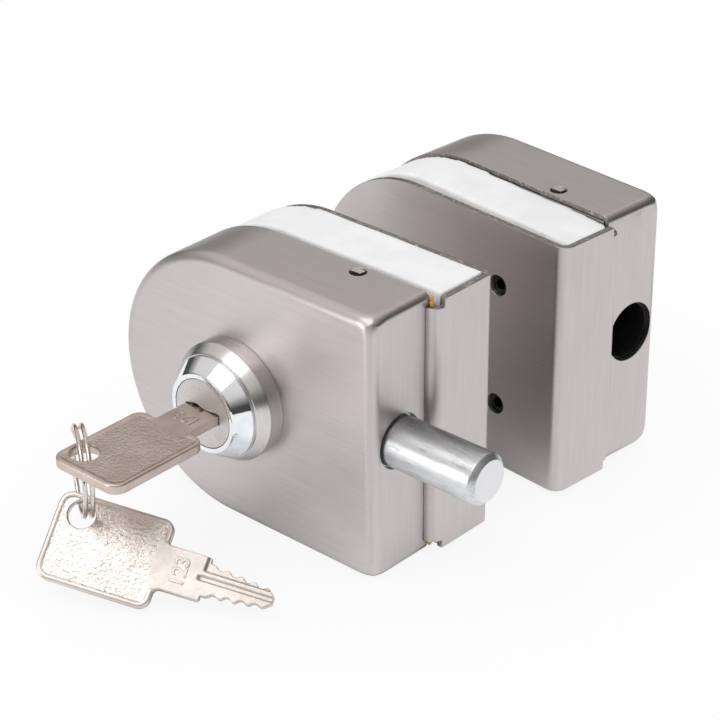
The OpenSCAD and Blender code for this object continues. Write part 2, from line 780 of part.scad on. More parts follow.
// One tooth, from its foot on one side to its foot on the other
function tooth_points(turn) =
    let (steps = 5, rs = [for (i = [0 : steps]) base_r + (tooth_top - base_r) * i / steps])
        concat([polar(tooth_root, turn - half_tooth(base_r))],
            [for (r = rs) polar(r, turn - half_tooth(r))],
            [for (i = [steps : -1 : 0]) polar(rs[i], turn + half_tooth(rs[i]))],
            [polar(tooth_root, turn + half_tooth(base_r))]);
module pinion()
{
    color(brass) in_lock() slab(rack_y + 0.1, rack_t - 0.2) translate([cyl_x, mid_z])
        difference() {
            polygon([for (i = [0 : pinion_teeth - 1])
                for (p = tooth_points(90 + i * 360 / pinion_teeth)) p]);
            intersection() {
                circle(d = tail_d + 2 * seat_gap);
                square([tail_flat + 2 * seat_gap, tail_d + cut], center = true);
            }
        }
}
// C-shaped carrier: a rack above the pinion, a plain bar below it, and an upright in front
module rack_carrier()
{
    pitch = PI * gear_m;
    count = ceil((carrier_x - carrier_t + cyl_in) / pitch) - 1;
    upright_half = bolt_r + 2.5;
    color(zinc) in_lock() difference() {
        union() {
            slab(rack_y, rack_t) translate([0, mid_z]) {
                translate([rack_end, rack_root])
                    square([carrier_x - rack_end, rack_half - rack_root]);
                translate([rack_end, -rack_half])
                    square([carrier_x - rack_end, rack_half - tooth_top - 0.6]);
                translate([carrier_x - carrier_t, -rack_half])
                    square([carrier_t, 2 * rack_half]);
                for (i = [-2 : count - 1]) translate([-cyl_in + (i + 0.5) * pitch, 0]) rack_tooth();
            }
            box([carrier_x - carrier_t, bolt_y - bolt_r, mid_z - upright_half],
                [carrier_x, rack_y + rack_t, mid_z + upright_half]);
        }
        translate([carrier_x - carrier_t - cut, 0, 0]) at_bolt()
            cylinder(h = carrier_t + 2 * cut, d = spigot_d + 2 * seat_gap);
    }
}
module rack_tooth()
{
    half = PI * gear_m / 4 - backlash / 4;
    lean = tan(pressure_angle);
    tip = half - (pitch_r - rack_tip) * lean;
    root = half + (rack_root - pitch_r) * lean;
    polygon([[-tip, rack_tip], [tip, rack_tip], [root, rack_root + 0.01], [root, rack_root + 0.5],
        [-root, rack_root + 0.5], [-root, rack_root + 0.01]]);
}
module bolt()
{
    inner_r = bolt_r - bolt_relief / 2;
    color(zinc) in_lock() at_bolt() rotate_extrude($fn = 96) polygon([
        [0, carrier_x - carrier_t], [spigot_d / 2, carrier_x - carrier_t],
        [spigot_d / 2, carrier_x], [inner_r, carrier_x], [inner_r, bolt_full_x],
        [bolt_r, bolt_full_x], [bolt_r, bolt_out - bolt_chamfer],
        [bolt_r - bolt_chamfer, bolt_out], [0, bolt_out]]);
}

// Keys. The flat key is drawn round its bow hole: x runs to the tip, z across, y through.
module blade_outline()
{
    step = blade_l / (len(blade_cuts) + 1);
    half = blade_w / 2;
    land = step * 0.28;
    upper = [for (i = [0 : len(blade_cuts) - 1]) for (p = [
        [(i + 1) * step - land, half - blade_cuts[i]], [(i + 1) * step + land, half - blade_cuts[i]],
        [(i + 1.5) * step, half - min(blade_cuts[i], 0.3)]]) p];
    lower = [for (i = [len(upper) - 1 : -1 : 0]) [upper[i][0], -upper[i][1]]];
    polygon(concat([[-cut, half], [step * 0.4, half]], upper, [[blade_l, 0.9], [blade_l, -0.9]],
        lower, [[step * 0.4, -half], [-cut, -half]]));
}
module flat_key()
{
    far = -bow_hole_in;
    side = bow_hole_side;
    neck = bow_l - bow_hole_in;
    mid = side - bow_w / 2;
    difference() {
        union() {
            translate([far, 0, side - bow_w]) slab(-bow_t / 2, bow_t)
                rounded_rect(bow_l, bow_w, bow_r);
            slab(-blade_t / 2, blade_t) translate([neck - cut, mid - shank_w / 2])
                square([shank_l + cut, shank_w]);
            slab(-blade_t / 2, blade_t) translate([neck + shank_l, mid]) blade_outline();
        }
        for (face = [0, 1]) rotate_half(face)
            slab(bow_t / 2 - bow_sink, cut) translate([far + bow_rim, side - bow_w + bow_rim])
                rounded_rect(bow_l - 2 * bow_rim, bow_w - 2 * bow_rim, bow_r - bow_rim);
        for (face = [0, 1]) rotate_half(face)
            slab(blade_t / 2 - groove_t, cut)
                translate([neck + shank_l - groove_lead, mid - groove_w / 2])
                square([blade_l + groove_lead + cut, groove_w]);
        y_hole(0, 0, -bow_t, bow_t, bow_hole_d);
    }
}
module rotate_half(face)
{
    if (face == 1) mirror([0, 1, 0]) children();
    else children();
}
key_1_hole = [cyl_x - bow_w / 2 + bow_hole_side, key_bow_y - bow_l + bow_hole_in, mid_z];
ring_centre = key_1_hole + ring_reach * [cos(ring_heading), sin(ring_heading), 0]
    - [0, 0, ring_drop];
module key_1()
{
    color(nickel) in_lock() translate(key_1_hole) rotate([-90, 0, 90]) flat_key();
}
// The ring hangs from the bow between its hole and its side, in an upright plane
module key_ring()
{
    n = 24 * ring_turns;
    sweep = 360 * ring_turns - ring_jog;
    turns = [for (i = [0 : n]) ring_point(ring_jog_at + ring_jog / 2 + sweep * i / n)];
    echo(key_ring_least_gap = least_gap(turns, ring_wire, 12));
    color(zinc) in_lock() translate(ring_centre) rotate([0, 0, ring_heading])
        wound_tube(turns, ring_wire, [0, 1, 0]);
}
// Two flat turns side by side, joined by a short sideways bend half way along the wire
function ring_point(a) =
    let (s = (a - ring_jog_at - 360) / ring_jog + 0.5, t = min(1, max(0, s)))
        [ring_d / 2 * cos(a), ring_pitch * (3 * t * t - 2 * t * t * t - 0.5), ring_d / 2 * sin(a)];
module key_2() { color(nickel) in_lock() translate(key_2_at) rotate(key_2_turn) flat_key(); }

// Strike half
module strike_case()
{
    color(steel) in_strike() difference() {
        case_shell();
        translate([-case_wall - cut, 0, 0]) at_bolt()
            cylinder(h = case_wall + 2 * cut, d = strike_hole_d);
    }
}
module strike_frame()
{
    color(steel) in_strike() difference() {
        frame_sheet(strike_corner_r);
        socket_screw_spots() y_hole(0, 0, plate_y - cut, case_d + cut, chassis_screw_d);
    }
}
module strike_pad_holes()
{
    difference() {
        children();
        screw_spots() y_hole(0, 0, slot_y, slot_end + cut, set_screw_d + 1);
    }
}
module strike_glass_pad()
{
    color(white) in_strike() strike_pad_holes()
        glass_pad(slot_end - glue_t - pad_t - 2 * film_gap, strike_corner_inside);
}
module strike_adhesive()
{
    color(amber) in_strike() strike_pad_holes()
        adhesive(slot_end - glue_t - film_gap, strike_corner_inside);
}
module strike_foam_blank()
{
    lean_at = [round_x, 0, mid_z];
    lean = mid_z * sin(strike_foam_tilt);
    color(white) in_strike() translate(lean_at) rotate([0, -strike_foam_tilt, 0])
        translate(-lean_at)
            foam_blank(slot_y + slide_gap, slot_end - glue_t - pad_t - slide_gap, lean);
}
module strike_pressure_plate() { color(dark_steel) in_strike() pressure_plate(); }
module strike_pressure_pad() { color(black) in_strike() pressure_pad(); }
module strike_set_screws() { color(dark_steel) in_strike() set_screws(); }
module strike_upper_catch() { color(zinc) in_strike() flipped() catch_leaf(lug_proud); }
module strike_lower_catch() { color(zinc) in_strike() catch_leaf(lug_flush); }
module strike_catch_rivets() { color(zinc) in_strike() catch_rivets(); }
module socket_screw_spots()
{
    for (x = socket_screw_xs, z = [-1, 1])
        translate([x, 0, mid_z + z * (socket_half + socket_ear / 2)]) children();
}
module strike_socket()
{
    color(black) in_strike() difference() {
        union() {
            box([socket_left, socket_front, mid_z - socket_half],
                [socket_x, plate_y, mid_z + socket_half]);
            box([socket_left, plate_y - socket_ear_t, mid_z - socket_half - socket_ear],
                [socket_x, plate_y, mid_z + socket_half + socket_ear]);
        }
        translate([socket_x, socket_front, mid_z]) rotate([0, 0, 45])
            cube([corner_ease * sqrt(2), corner_ease * sqrt(2), case_h], center = true);
        translate([socket_x - socket_l, 0, 0]) at_bolt() cylinder(h = socket_l + cut, d = socket_d);
        socket_screw_spots()
            y_hole(0, 0, plate_y - socket_ear_t - cut, plate_y + cut, chassis_screw_d);
    }
}
module socket_screws()
{
    face = plate_y - socket_ear_t;
    color(zinc) in_strike() socket_screw_spots() difference() {
        union() {
            y_hole(0, 0, face, case_d, chassis_screw_d);
            y_hole(0, 0, face - screw_head_h, face, screw_head_d);
        }
        cross_slot(face - screw_head_h);
    }
}

lock_case();
lock_frame();
lock_glass_pad();
lock_adhesive();
lock_foam_blank();
lock_pressure_plate();
lock_pressure_pad();
lock_set_screws();
lock_upper_catch();
lock_lower_catch();
lock_catch_rivets();
chassis();
chassis_screws();
cylinder_collar();
cylinder_housing();
cylinder_clip();
cylinder_plug();
plug_ring();
wafers();
wafer_springs();
pinion();
rack_carrier();
bolt();
key_1();
key_ring();
key_2();
strike_case();
strike_frame();
strike_glass_pad();
strike_adhesive();
strike_foam_blank();
strike_pressure_plate();
strike_pressure_pad();
strike_set_screws();
strike_upper_catch();
strike_lower_catch();
strike_catch_rivets();
strike_socket();
socket_screws();
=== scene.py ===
import json
import math
from contextlib import contextmanager

import bmesh
import bpy
import numpy as np
from mathutils import Matrix, Vector, geometry, noise


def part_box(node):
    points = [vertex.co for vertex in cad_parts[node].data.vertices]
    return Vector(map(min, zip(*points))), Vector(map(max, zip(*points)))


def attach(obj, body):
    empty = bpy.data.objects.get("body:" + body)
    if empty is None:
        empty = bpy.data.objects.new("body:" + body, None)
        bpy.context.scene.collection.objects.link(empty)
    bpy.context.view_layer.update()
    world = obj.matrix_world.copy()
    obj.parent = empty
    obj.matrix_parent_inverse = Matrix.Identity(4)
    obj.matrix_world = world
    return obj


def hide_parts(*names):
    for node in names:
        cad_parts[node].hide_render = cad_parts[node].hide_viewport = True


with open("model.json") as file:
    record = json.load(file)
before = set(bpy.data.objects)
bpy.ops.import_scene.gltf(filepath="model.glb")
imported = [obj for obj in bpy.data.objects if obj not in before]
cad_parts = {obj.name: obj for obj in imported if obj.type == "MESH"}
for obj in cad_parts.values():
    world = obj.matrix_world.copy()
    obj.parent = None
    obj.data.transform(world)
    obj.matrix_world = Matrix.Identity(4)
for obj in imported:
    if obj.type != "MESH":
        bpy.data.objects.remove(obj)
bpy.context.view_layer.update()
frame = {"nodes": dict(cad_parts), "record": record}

record = frame["record"]
BODY_OF = {node: body for body, nodes in record["behaviour"]["bodies"].items() for node in nodes}
SLOT_OF = {part["node"]: part["material_slot"] for part in record["subparts"]}
MM = 0.001
MERGE = 0.001 * MM

# Sizes of the two halves, in one shared unit space: x = 0 is the outer face of the case's
# flat end, y = 0 is its face and z = 0 is its underside
case_low, case_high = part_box("lock_case")
case_w, case_d, case_h = ((case_high - case_low) / MM)[:]
mid_z = case_h / 2
round_x = mid_z - case_w
slot_gap = 16.3
frame_t = 1.5
unit_d = case_d + slot_gap + frame_t
strike_right = 5
strike_back = 55.2
strike_turn = -4.5

lock_place = Matrix.Translation((case_high.x, case_low.y, case_low.z)) @ Matrix.Scale(MM, 4)
strike_place = (
    lock_place
    @ Matrix.Translation((strike_right, strike_back, 0))
    @ Matrix.Rotation(math.radians(strike_turn), 4, "Z")
    @ Matrix.Translation((0, unit_d, case_h))
    @ Matrix.Rotation(math.pi, 4, "X")
)


def in_lock(corner):
    """A corner of a node's box, in the lock's unit space."""
    return lock_place.inverted() @ corner


def smoothstep(low, high, x):
    t = np.clip((x - low) / (high - low), 0, 1)
    return t * t * (3 - 2 * t)


# Mesh tools

def add_object(name, data):
    made = bpy.data.objects.new(name, data)
    bpy.context.scene.collection.objects.link(made)
    return made


@contextmanager
def reshaping(mesh):
    """Opens a mesh for editing, and writes it back at the end."""
    shape = bmesh.new()
    shape.from_mesh(mesh)
    yield shape
    shape.to_mesh(mesh)
    shape.free()


def new_piece(name, verts, faces, place, uv=None, sharp=32):
    """An object at the origin whose mesh holds its place. uv gives one (u, v) a face corner."""
    mesh = bpy.data.meshes.new(name)
    mesh.from_pydata([place @ Vector(v) for v in verts], [], faces)
    if uv is not None:
        layer = mesh.uv_layers.new(name="grain")
        layer.data.foreach_set("uv", np.asarray(uv, np.float32).ravel())
    with reshaping(mesh) as shape:
        bmesh.ops.recalc_face_normals(shape, faces=shape.faces)
    smooth(mesh, sharp)
    return add_object(name, mesh)


def smooth(mesh, sharp):
    """Smooth shading, broken where two faces meet at more than sharp degrees."""
    mesh.polygons.foreach_set("use_smooth", [True] * len(mesh.polygons))
    mesh.set_sharp_from_angle(angle=math.radians(sharp))
    mesh.update()


def merged_copy(node, name):
    """A CAD node's mesh as a new piece, with its loose triangles joined into flat faces."""
    mesh = frame["nodes"][node].data.copy()
    mesh.name = name
    with reshaping(mesh) as shape:
        bmesh.ops.remove_doubles(shape, verts=shape.verts, dist=MERGE)
        bmesh.ops.dissolve_limit(
            shape, angle_limit=math.radians(0.2), verts=shape.verts, edges=shape.edges,
            use_dissolve_boundaries=False)
    mesh.materials.clear()
    return add_object(name, mesh)


def apply_modifiers(piece):
    """Turns the piece's live modifiers into its plain mesh."""
    bpy.context.view_layer.update()
    solved = piece.evaluated_get(bpy.context.evaluated_depsgraph_get())
    mesh = bpy.data.meshes.new_from_object(solved)
    mesh.name = piece.name
    piece.modifiers.clear()
    piece.data = mesh


def softened(corners, closed=True):
    """An outline with each (a, b, radius) corner rounded to its own radius."""
    side_share = 0.49
    points = [Vector(c[:2]) for c in corners]
    count = len(points)
    outline = []
    for i, (_, _, radius) in enumerate(corners):
        here = points[i]
        if radius <= 0 or (not closed and i in (0, count - 1)):
            outline.append(tuple(here))
            continue
        back = points[i - 1] - here
        ahead = points[(i + 1) % count] - here
        half = back.angle(ahead) / 2
        reach = min(radius / math.tan(half), side_share * back.length, side_share * ahead.length)
        radius = reach * math.tan(half)
        start = here + back.normalized() * reach
        inwards = (back.normalized() + ahead.normalized()).normalized()
        centre = here + inwards * radius / math.sin(half)
        sweep = math.pi - 2 * half
        turn = math.copysign(sweep, (-back).cross(ahead))
        steps = max(2, math.ceil(math.degrees(sweep) / 10))
        arm = start - centre
        for k in range(steps + 1):
            a = turn * k / steps
            outline.append((
                centre.x + arm.x * math.cos(a) - arm.y * math.sin(a),
                centre.y + arm.x * math.sin(a) + arm.y * math.cos(a)))
    return outline


def lathe(name, corners, place, around=144, closed=True):
    """Turns an outline of (radius, height, corner radius) about z. Its uv runs round the
    axis and along the outline, in millimetres. An open outline starts and ends on the axis."""
    outline = softened(corners, closed)
    rim = max(r for r, _ in outline)
    on_axis = [r < 1e-6 for r, _ in outline]
    verts, ring_of = [], []
    for (r, h), pole in zip(outline, on_axis):
        ring_of.append(len(verts))
        if pole:
            verts.append((0, 0, h))
        else:
            verts += [(r * math.cos(a), r * math.sin(a), h)
                      for a in (2 * math.pi * k / around for k in range(around))]
    steps = [math.dist(a, b) for a, b in zip(outline, outline[1:] + outline[:1])]
    lengths = np.cumsum([0] + steps)
    faces, uv = [], []
    for i in range(len(outline) if closed else len(outline) - 1):
        j = (i + 1) % len(outline)
        low, high = lengths[i], lengths[i + 1]
        for k in range(around):
            n = (k + 1) % around
            left, right = (2 * math.pi * rim * turn / around for turn in (k, k + 1))
            lower = [ring_of[i]] if on_axis[i] else [ring_of[i] + k, ring_of[i] + n]
            upper = [ring_of[j]] if on_axis[j] else [ring_of[j] + n, ring_of[j] + k]
            faces.append(lower + upper)
            uv += [(left, low), (right, low)][:len(lower)]
            uv += [(right, high), (left, high)][:len(upper)]
    return new_piece(name, verts, faces, place, uv)


# Shader tools

def link(tree, value, socket):
    """Gives a socket a link or a plain value."""
    if isinstance(value, bpy.types.NodeSocket):
        tree.links.new(value, socket)
    else:
        socket.default_value = value


def add(tree, kind, sockets=None, **settings):
    """A shader node with its settings, and its sockets by name or by number."""
    made = tree.nodes.new("ShaderNode" + kind)
    for name, value in settings.items():
        setattr(made, name, value)
    for name, value in (sockets or {}).items():
        link(tree, value, made.inputs[name])
    return made


def maths(tree, operation, a, b=0.0, c=0.0):
    return add(tree, "Math", {0: a, 1: b, 2: c}, operation=operation).outputs[0]


def between(tree, mask, low, high):
    """Maps a mask of 0 to 1 on to low to high."""
    made = add(tree, "MapRange", {"Value": mask, "To Min": low, "To Max": high})
    return made.outputs["Result"]


def threshold(tree, value, low, high):
    made = add(tree, "MapRange", {"Value": value, "From Min": low, "From Max": high},
               interpolation_type="SMOOTHSTEP")
    return made.outputs["Result"]


def blend_colours(tree, mask, first, second):
    made = add(tree, "Mix", {"Factor": mask}, data_type="RGBA")
    link(tree, first, made.inputs["A"])
    link(tree, second, made.inputs["B"])
    return made.outputs["Result"]


def stretched(tree, vector, scale):
    made = add(tree, "Mapping", {"Vector": vector, "Scale": scale}, vector_type="POINT")
    return made.outputs["Vector"]


def cloud(tree, vector, scale, detail=2.0, roughness=0.5):
    return add(tree, "TexNoise", {"Vector": vector, "Scale": scale, "Detail": detail,
                                  "Roughness": roughness}).outputs["Fac"]


def new_group(name, inputs, outputs, family="ShaderNodeTree"):
    """An empty node group with named sockets: {name: socket kind}."""
    tree = bpy.data.node_groups.new(name, family)
    for socket, kind in inputs.items():
        tree.interface.new_socket(socket, in_out="INPUT", socket_type="NodeSocket" + kind)
    for socket, kind in outputs.items():
        tree.interface.new_socket(socket, in_out="OUTPUT", socket_type="NodeSocket" + kind)
    given = tree.nodes.new("NodeGroupInput").outputs
    result = tree.nodes.new("NodeGroupOutput").inputs
    return tree, given, result


def make_grain():
    """Fine lines along the first axis and soft smudges, on coordinates in millimetres."""
    tree, given, result = new_group(
        "brush_grain", {"Vector": "Vector", "Fineness": "Float"},
        {"Lines": "Float", "Bands": "Float", "Smudge": "Float"})
    scaled = add(tree, "VectorMath", {0: given["Vector"], 3: given["Fineness"]},
                 operation="SCALE").outputs[0]
    fine = cloud(tree, stretched(tree, scaled, (0.06, 8.0, 1.0)), 1.0, 3.0, 0.65)
    bands = cloud(tree, stretched(tree, scaled, (0.03, 1.3, 1.0)), 1.0, 4.0, 0.6)
    smudge = cloud(tree, stretched(tree, given["Vector"], (0.05, 0.09, 0.1)), 1.0, 3.0, 0.55)
    tree.links.new(threshold(tree, fine, 0.3, 0.7), result["Lines"])
    tree.links.new(threshold(tree, bands, 0.32, 0.68), result["Bands"])
    tree.links.new(threshold(tree, smudge, 0.3, 0.7), result["Smudge"])
    return tree


def make_specks():
    """Sparse small specks: dust and pits a few tenths of a millimetre across."""
    tree, given, result = new_group(
        "specks", {"Vector": "Vector", "Spacing": "Float", "Size": "Float", "Share": "Float"},
        {"Mask": "Float"})
    scale = maths(tree, "DIVIDE", 1.0, given["Spacing"])
    cells = add(tree, "TexVoronoi", {"Vector": given["Vector"], "Scale": scale, "Randomness": 1.0})
    reach = maths(tree, "DIVIDE", given["Size"], given["Spacing"])
    spot = maths(tree, "LESS_THAN", cells.outputs["Distance"], reach)
    draw = add(tree, "SeparateColor", {0: cells.outputs["Color"]}).outputs[0]
    pick = maths(tree, "LESS_THAN", draw, given["Share"])
    tree.links.new(maths(tree, "MULTIPLY", spot, pick), result["Mask"])
    return tree


def make_wear():
    """Handling marks on small parts: a soft cloud, a fine mottle and short scratches."""
    tree, given, result = new_group(
        "handling_wear", {"Vector": "Vector", "Scale": "Float"},
        {"Cloud": "Float", "Mottle": "Float", "Scratches": "Float"})
    scaled = add(tree, "VectorMath", {0: given["Vector"], 3: given["Scale"]},
                 operation="SCALE").outputs[0]
    soft = cloud(tree, scaled, 0.16, 3.0, 0.6)
    mottle = cloud(tree, scaled, 1.7, 4.0, 0.62)
    bent = add(tree, "VectorMath", {0: scaled, 1: (0.35, 0.2, 0.93)}, operation="ADD").outputs[0]
    lines = cloud(tree, stretched(tree, bent, (0.25, 5.0, 2.2)), 1.0, 2.0, 0.5)
    tree.links.new(threshold(tree, soft, 0.3, 0.7), result["Cloud"])
    tree.links.new(threshold(tree, mottle, 0.3, 0.7), result["Mottle"])
    tree.links.new(threshold(tree, lines, 0.66, 0.74), result["Scratches"])
    return tree


GRAIN, SPECKS, WEAR = make_grain(), make_specks(), make_wear()


class Finish:
    """A material with its shader, and coordinates in millimetres."""

    def __init__(self, name, **plain):
        self.material = bpy.data.materials.new(name)
        self.material.use_nodes = True
        self.tree = self.material.node_tree
        self.shader = self.tree.nodes["Principled BSDF"]
        for socket, value in plain.items():
            self.shader.inputs[socket.replace("_", " ")].default_value = value
        place = add(self.tree, "TexCoord").outputs["Object"]
        self.position = stretched(self.tree, place, (1000, 1000, 1000))

    def grain_uv(self):
        return add(self.tree, "UVMap", uv_map="grain").outputs["UV"]

    def group(self, tree, **sockets):
        made = add(self.tree, "Group", node_tree=tree)
        for socket, value in sockets.items():
            link(self.tree, value, made.inputs[socket.replace("_", " ")])
        return made.outputs

    def feed(self, **sockets):
        for socket, value in sockets.items():
            self.tree.links.new(value, self.shader.inputs[socket.replace("_", " ")])
        return self

    def bump(self, height, depth, strength=1.0):
        """A surface relief whose height of 0 to 1 stands for depth millimetres."""
        made = add(self.tree, "Bump",
                   {"Height": height, "Strength": strength, "Distance": depth * MM})
        self.tree.links.new(made.outputs["Normal"], self.shader.inputs["Normal"])


def grey(value, warmth=0.0):
    """A linear grey, warm for a positive warmth and cool for a negative one."""
    return (value * (1 + warmth), value, value * (1 - warmth), 1)


def brushed_steel(name, dark, light, rough, anisotropy=0.55):
    """Brushed sheet: lines and bands along the grain, with raw metal on its cut edges."""
    edge_dark, edge_light, edge_relief = (0.30, 0.27, 0.255, 1), (0.66, 0.62, 0.60, 1), 12.0
    made = Finish(name, Metallic=1.0, Anisotropic=anisotropy, Anisotropic_Rotation=0.25)
    tree = made.tree
    uv = made.grain_uv()
    grain = made.group(GRAIN, Vector=uv, Fineness=1.0)
    specks = made.group(SPECKS, Vector=uv, Spacing=9.0, Size=0.16, Share=0.35)["Mask"]
    bands = maths(tree, "MULTIPLY", grain["Bands"], 0.3)
    tone = blend_colours(tree, maths(tree, "MULTIPLY_ADD", grain["Lines"], 0.7, bands), dark, light)
    tone = blend_colours(tree, specks, tone, grey(0.2))
    cut = add(tree, "Attribute", attribute_name="cut_edge").outputs["Fac"]
    chips = cloud(tree, made.position, 1.1, 4.0, 0.7)
    edge = blend_colours(tree, threshold(tree, chips, 0.5, 0.68), edge_dark, edge_light)
    made.feed(Base_Color=blend_colours(tree, cut, tone, edge))
    lines = maths(tree, "MULTIPLY", grain["Lines"], 0.5)
    gloss = maths(tree, "MULTIPLY_ADD", grain["Smudge"], 0.5, lines)
    made.feed(Roughness=between(tree, gloss, rough - 0.05, rough + 0.07))
    torn = maths(tree, "MULTIPLY", cut, chips)
    made.bump(maths(tree, "MULTIPLY_ADD", torn, edge_relief, grain["Lines"]), 0.002, 0.6)
    tangent = add(tree, "Tangent", direction_type="UV_MAP", uv_map="grain")
    made.feed(Tangent=tangent.outputs["Tangent"])
    return made.material


def chrome():
    made = Finish("polished_chrome", Metallic=1.0)
    wear = made.group(WEAR, Vector=made.position, Scale=1.0)
    made.feed(Base_Color=blend_colours(
        made.tree, wear["Cloud"], (0.80, 0.82, 0.87, 1), (0.90, 0.91, 0.93, 1)))
    mottle = maths(made.tree, "MULTIPLY", wear["Mottle"], 0.4)
    marks = maths(made.tree, "MULTIPLY_ADD", wear["Scratches"], 0.6, mottle)
    made.feed(Roughness=between(made.tree, marks, 0.05, 0.16))
    made.bump(wear["Mottle"], 0.003, 0.3)
    return made.material


def cast_nickel(name, dark, light):
    """Nickel plate over a cast key: warm, a little satin, with a fine pebble of its own."""
    made = Finish(name, Metallic=1.0)
    tree = made.tree
    wear = made.group(WEAR, Vector=made.position, Scale=1.0)
    made.feed(Base_Color=blend_colours(tree, wear["Cloud"], dark, light))
    field = add(tree, "Attribute", attribute_name="pebbled_field").outputs["Fac"]
    grit = threshold(tree, cloud(tree, made.position, 2.6, 2.0, 0.5), 0.3, 0.7)
    satin = between(tree, wear["Mottle"], 0.40, 0.46)
    made.feed(Roughness=maths(tree, "MULTIPLY_ADD", field, -0.14, satin))
    made.bump(maths(tree, "MULTIPLY", grit, between(tree, field, 0.06, 1.0)), 0.05, 0.6)
    return made.material


def plug_nickel():
    """Dull nickel on the plug and what it holds, with small pits."""
    made = Finish("plug_nickel", Metallic=1.0)
    wear = made.group(WEAR, Vector=made.position, Scale=1.4)
    pits = made.group(SPECKS, Vector=made.position, Spacing=1.6, Size=0.12, Share=0.4)["Mask"]
    tone = blend_colours(made.tree, wear["Mottle"], (0.58, 0.56, 0.55, 1), (0.72, 0.70, 0.69, 1))
    made.feed(Base_Color=blend_colours(made.tree, pits, tone, grey(0.25, 0.05)))
    made.feed(Roughness=between(made.tree, wear["Cloud"], 0.38, 0.5))
    made.bump(wear["Mottle"], 0.01, 0.4)
    return made.material


def zinc():
    """Bright zinc plate on small parts: blue-grey, with handling wear."""
    made = Finish("zinc_plate", Metallic=1.0)
    wear = made.group(WEAR, Vector=made.position, Scale=0.9)
    made.feed(Base_Color=blend_colours(
        made.tree, wear["Mottle"], (0.60, 0.63, 0.66, 1), (0.82, 0.84, 0.86, 1)))
    made.feed(Roughness=between(made.tree, wear["Cloud"], 0.24, 0.4))
    made.bump(wear["Mottle"], 0.01, 0.5)
    return made.material


def drawn_zinc():
    """Zinc plate over drawn bar: broken streaks along the bolt over soft blue-grey patches."""
    bright, dull_tone = (0.72, 0.735, 0.75, 1), (0.47, 0.49, 0.515, 1)
    nose_tone = (0.80, 0.80, 0.825, 1)
    made = Finish("drawn_zinc_bolt", Metallic=1.0)
    tree = made.tree
    streaks = cloud(tree, stretched(tree, made.position, (0.28, 2.8, 2.8)), 1.0, 5.0, 0.7)
    patches = cloud(tree, stretched(tree, made.position, (0.12, 0.4, 0.4)), 1.0, 3.0, 0.6)
    specks = made.group(SPECKS, Vector=made.position, Spacing=1.5, Size=0.12, Share=0.3)["Mask"]
    streaked = threshold(tree, streaks, 0.42, 0.62)
    dull = maths(tree, "MULTIPLY", streaked, threshold(tree, patches, 0.35, 0.6))
    facing = add(tree, "SeparateXYZ", {0: add(tree, "NewGeometry").outputs["Normal"]}).outputs["X"]
    flat_nose = threshold(tree, maths(tree, "ABSOLUTE", facing), 0.9, 0.98)
    dull = maths(tree, "MULTIPLY", dull, between(tree, flat_nose, 1.0, 0.1))
    tone = blend_colours(tree, dull, bright, dull_tone)
    tone = blend_colours(tree, flat_nose, tone, nose_tone)
    made.feed(Base_Color=blend_colours(tree, specks, tone, grey(0.5)))
    made.feed(Roughness=between(tree, dull, 0.36, 0.5))
    made.bump(streaks, 0.022, 0.5)
    return made.material


def plain_metal(name, dark, light, rough, relief=0.01):
    """Metal for the small inside parts, with handling wear."""
    made = Finish(name, Metallic=1.0)
    wear = made.group(WEAR, Vector=made.position, Scale=1.6)
    made.feed(Base_Color=blend_colours(made.tree, wear["Mottle"], dark, light))
    made.feed(Roughness=between(made.tree, wear["Cloud"], rough - 0.06, rough + 0.08))
    made.bump(wear["Mottle"], relief, 0.4)
    return made.material


def plain_plastic(name, dark, light, rough, relief):
    """Moulded plastic or rubber with a fine matte relief."""
    made = Finish(name)
    wear = made.group(WEAR, Vector=made.position, Scale=2.2)
    made.feed(Base_Color=blend_colours(made.tree, wear["Cloud"], dark, light))
    made.feed(Roughness=between(made.tree, wear["Mottle"], rough - 0.06, rough + 0.06))
    made.bump(wear["Mottle"], relief, 0.5)
    return made.material


def foam(name, spacing, dark, light):
    """Closed-cell foam: tiny cells, a soft skin and faint dents."""
    made = Finish(name, Roughness=0.6, Specular_IOR_Level=0.4)
    tree = made.tree
    cells = add(tree, "TexVoronoi", {"Vector": made.position, "Scale": 1 / spacing}, feature="F1")
    dents = cloud(tree, made.position, 0.12, 3.0, 0.6)
    tone = blend_colours(tree, threshold(tree, dents, 0.35, 0.65), dark, light)
    made.feed(Base_Color=tone)
    height = maths(tree, "MULTIPLY_ADD", dents, 6.0, cells.outputs["Distance"])
    made.bump(height, 0.035, 0.5)
    return made.material


def amber():
    """Clear amber adhesive, glossy and a little see-through."""
    made = Finish("amber_adhesive", Transmission_Weight=0.25, IOR=1.45, Coat_Weight=0.6)
    wear = made.group(WEAR, Vector=made.position, Scale=2.0)
    made.feed(Base_Color=blend_colours(
        made.tree, wear["Cloud"], (0.55, 0.28, 0.05, 1), (0.90, 0.66, 0.28, 1)))
    made.feed(Roughness=between(made.tree, wear["Mottle"], 0.15, 0.35))
    return made.material


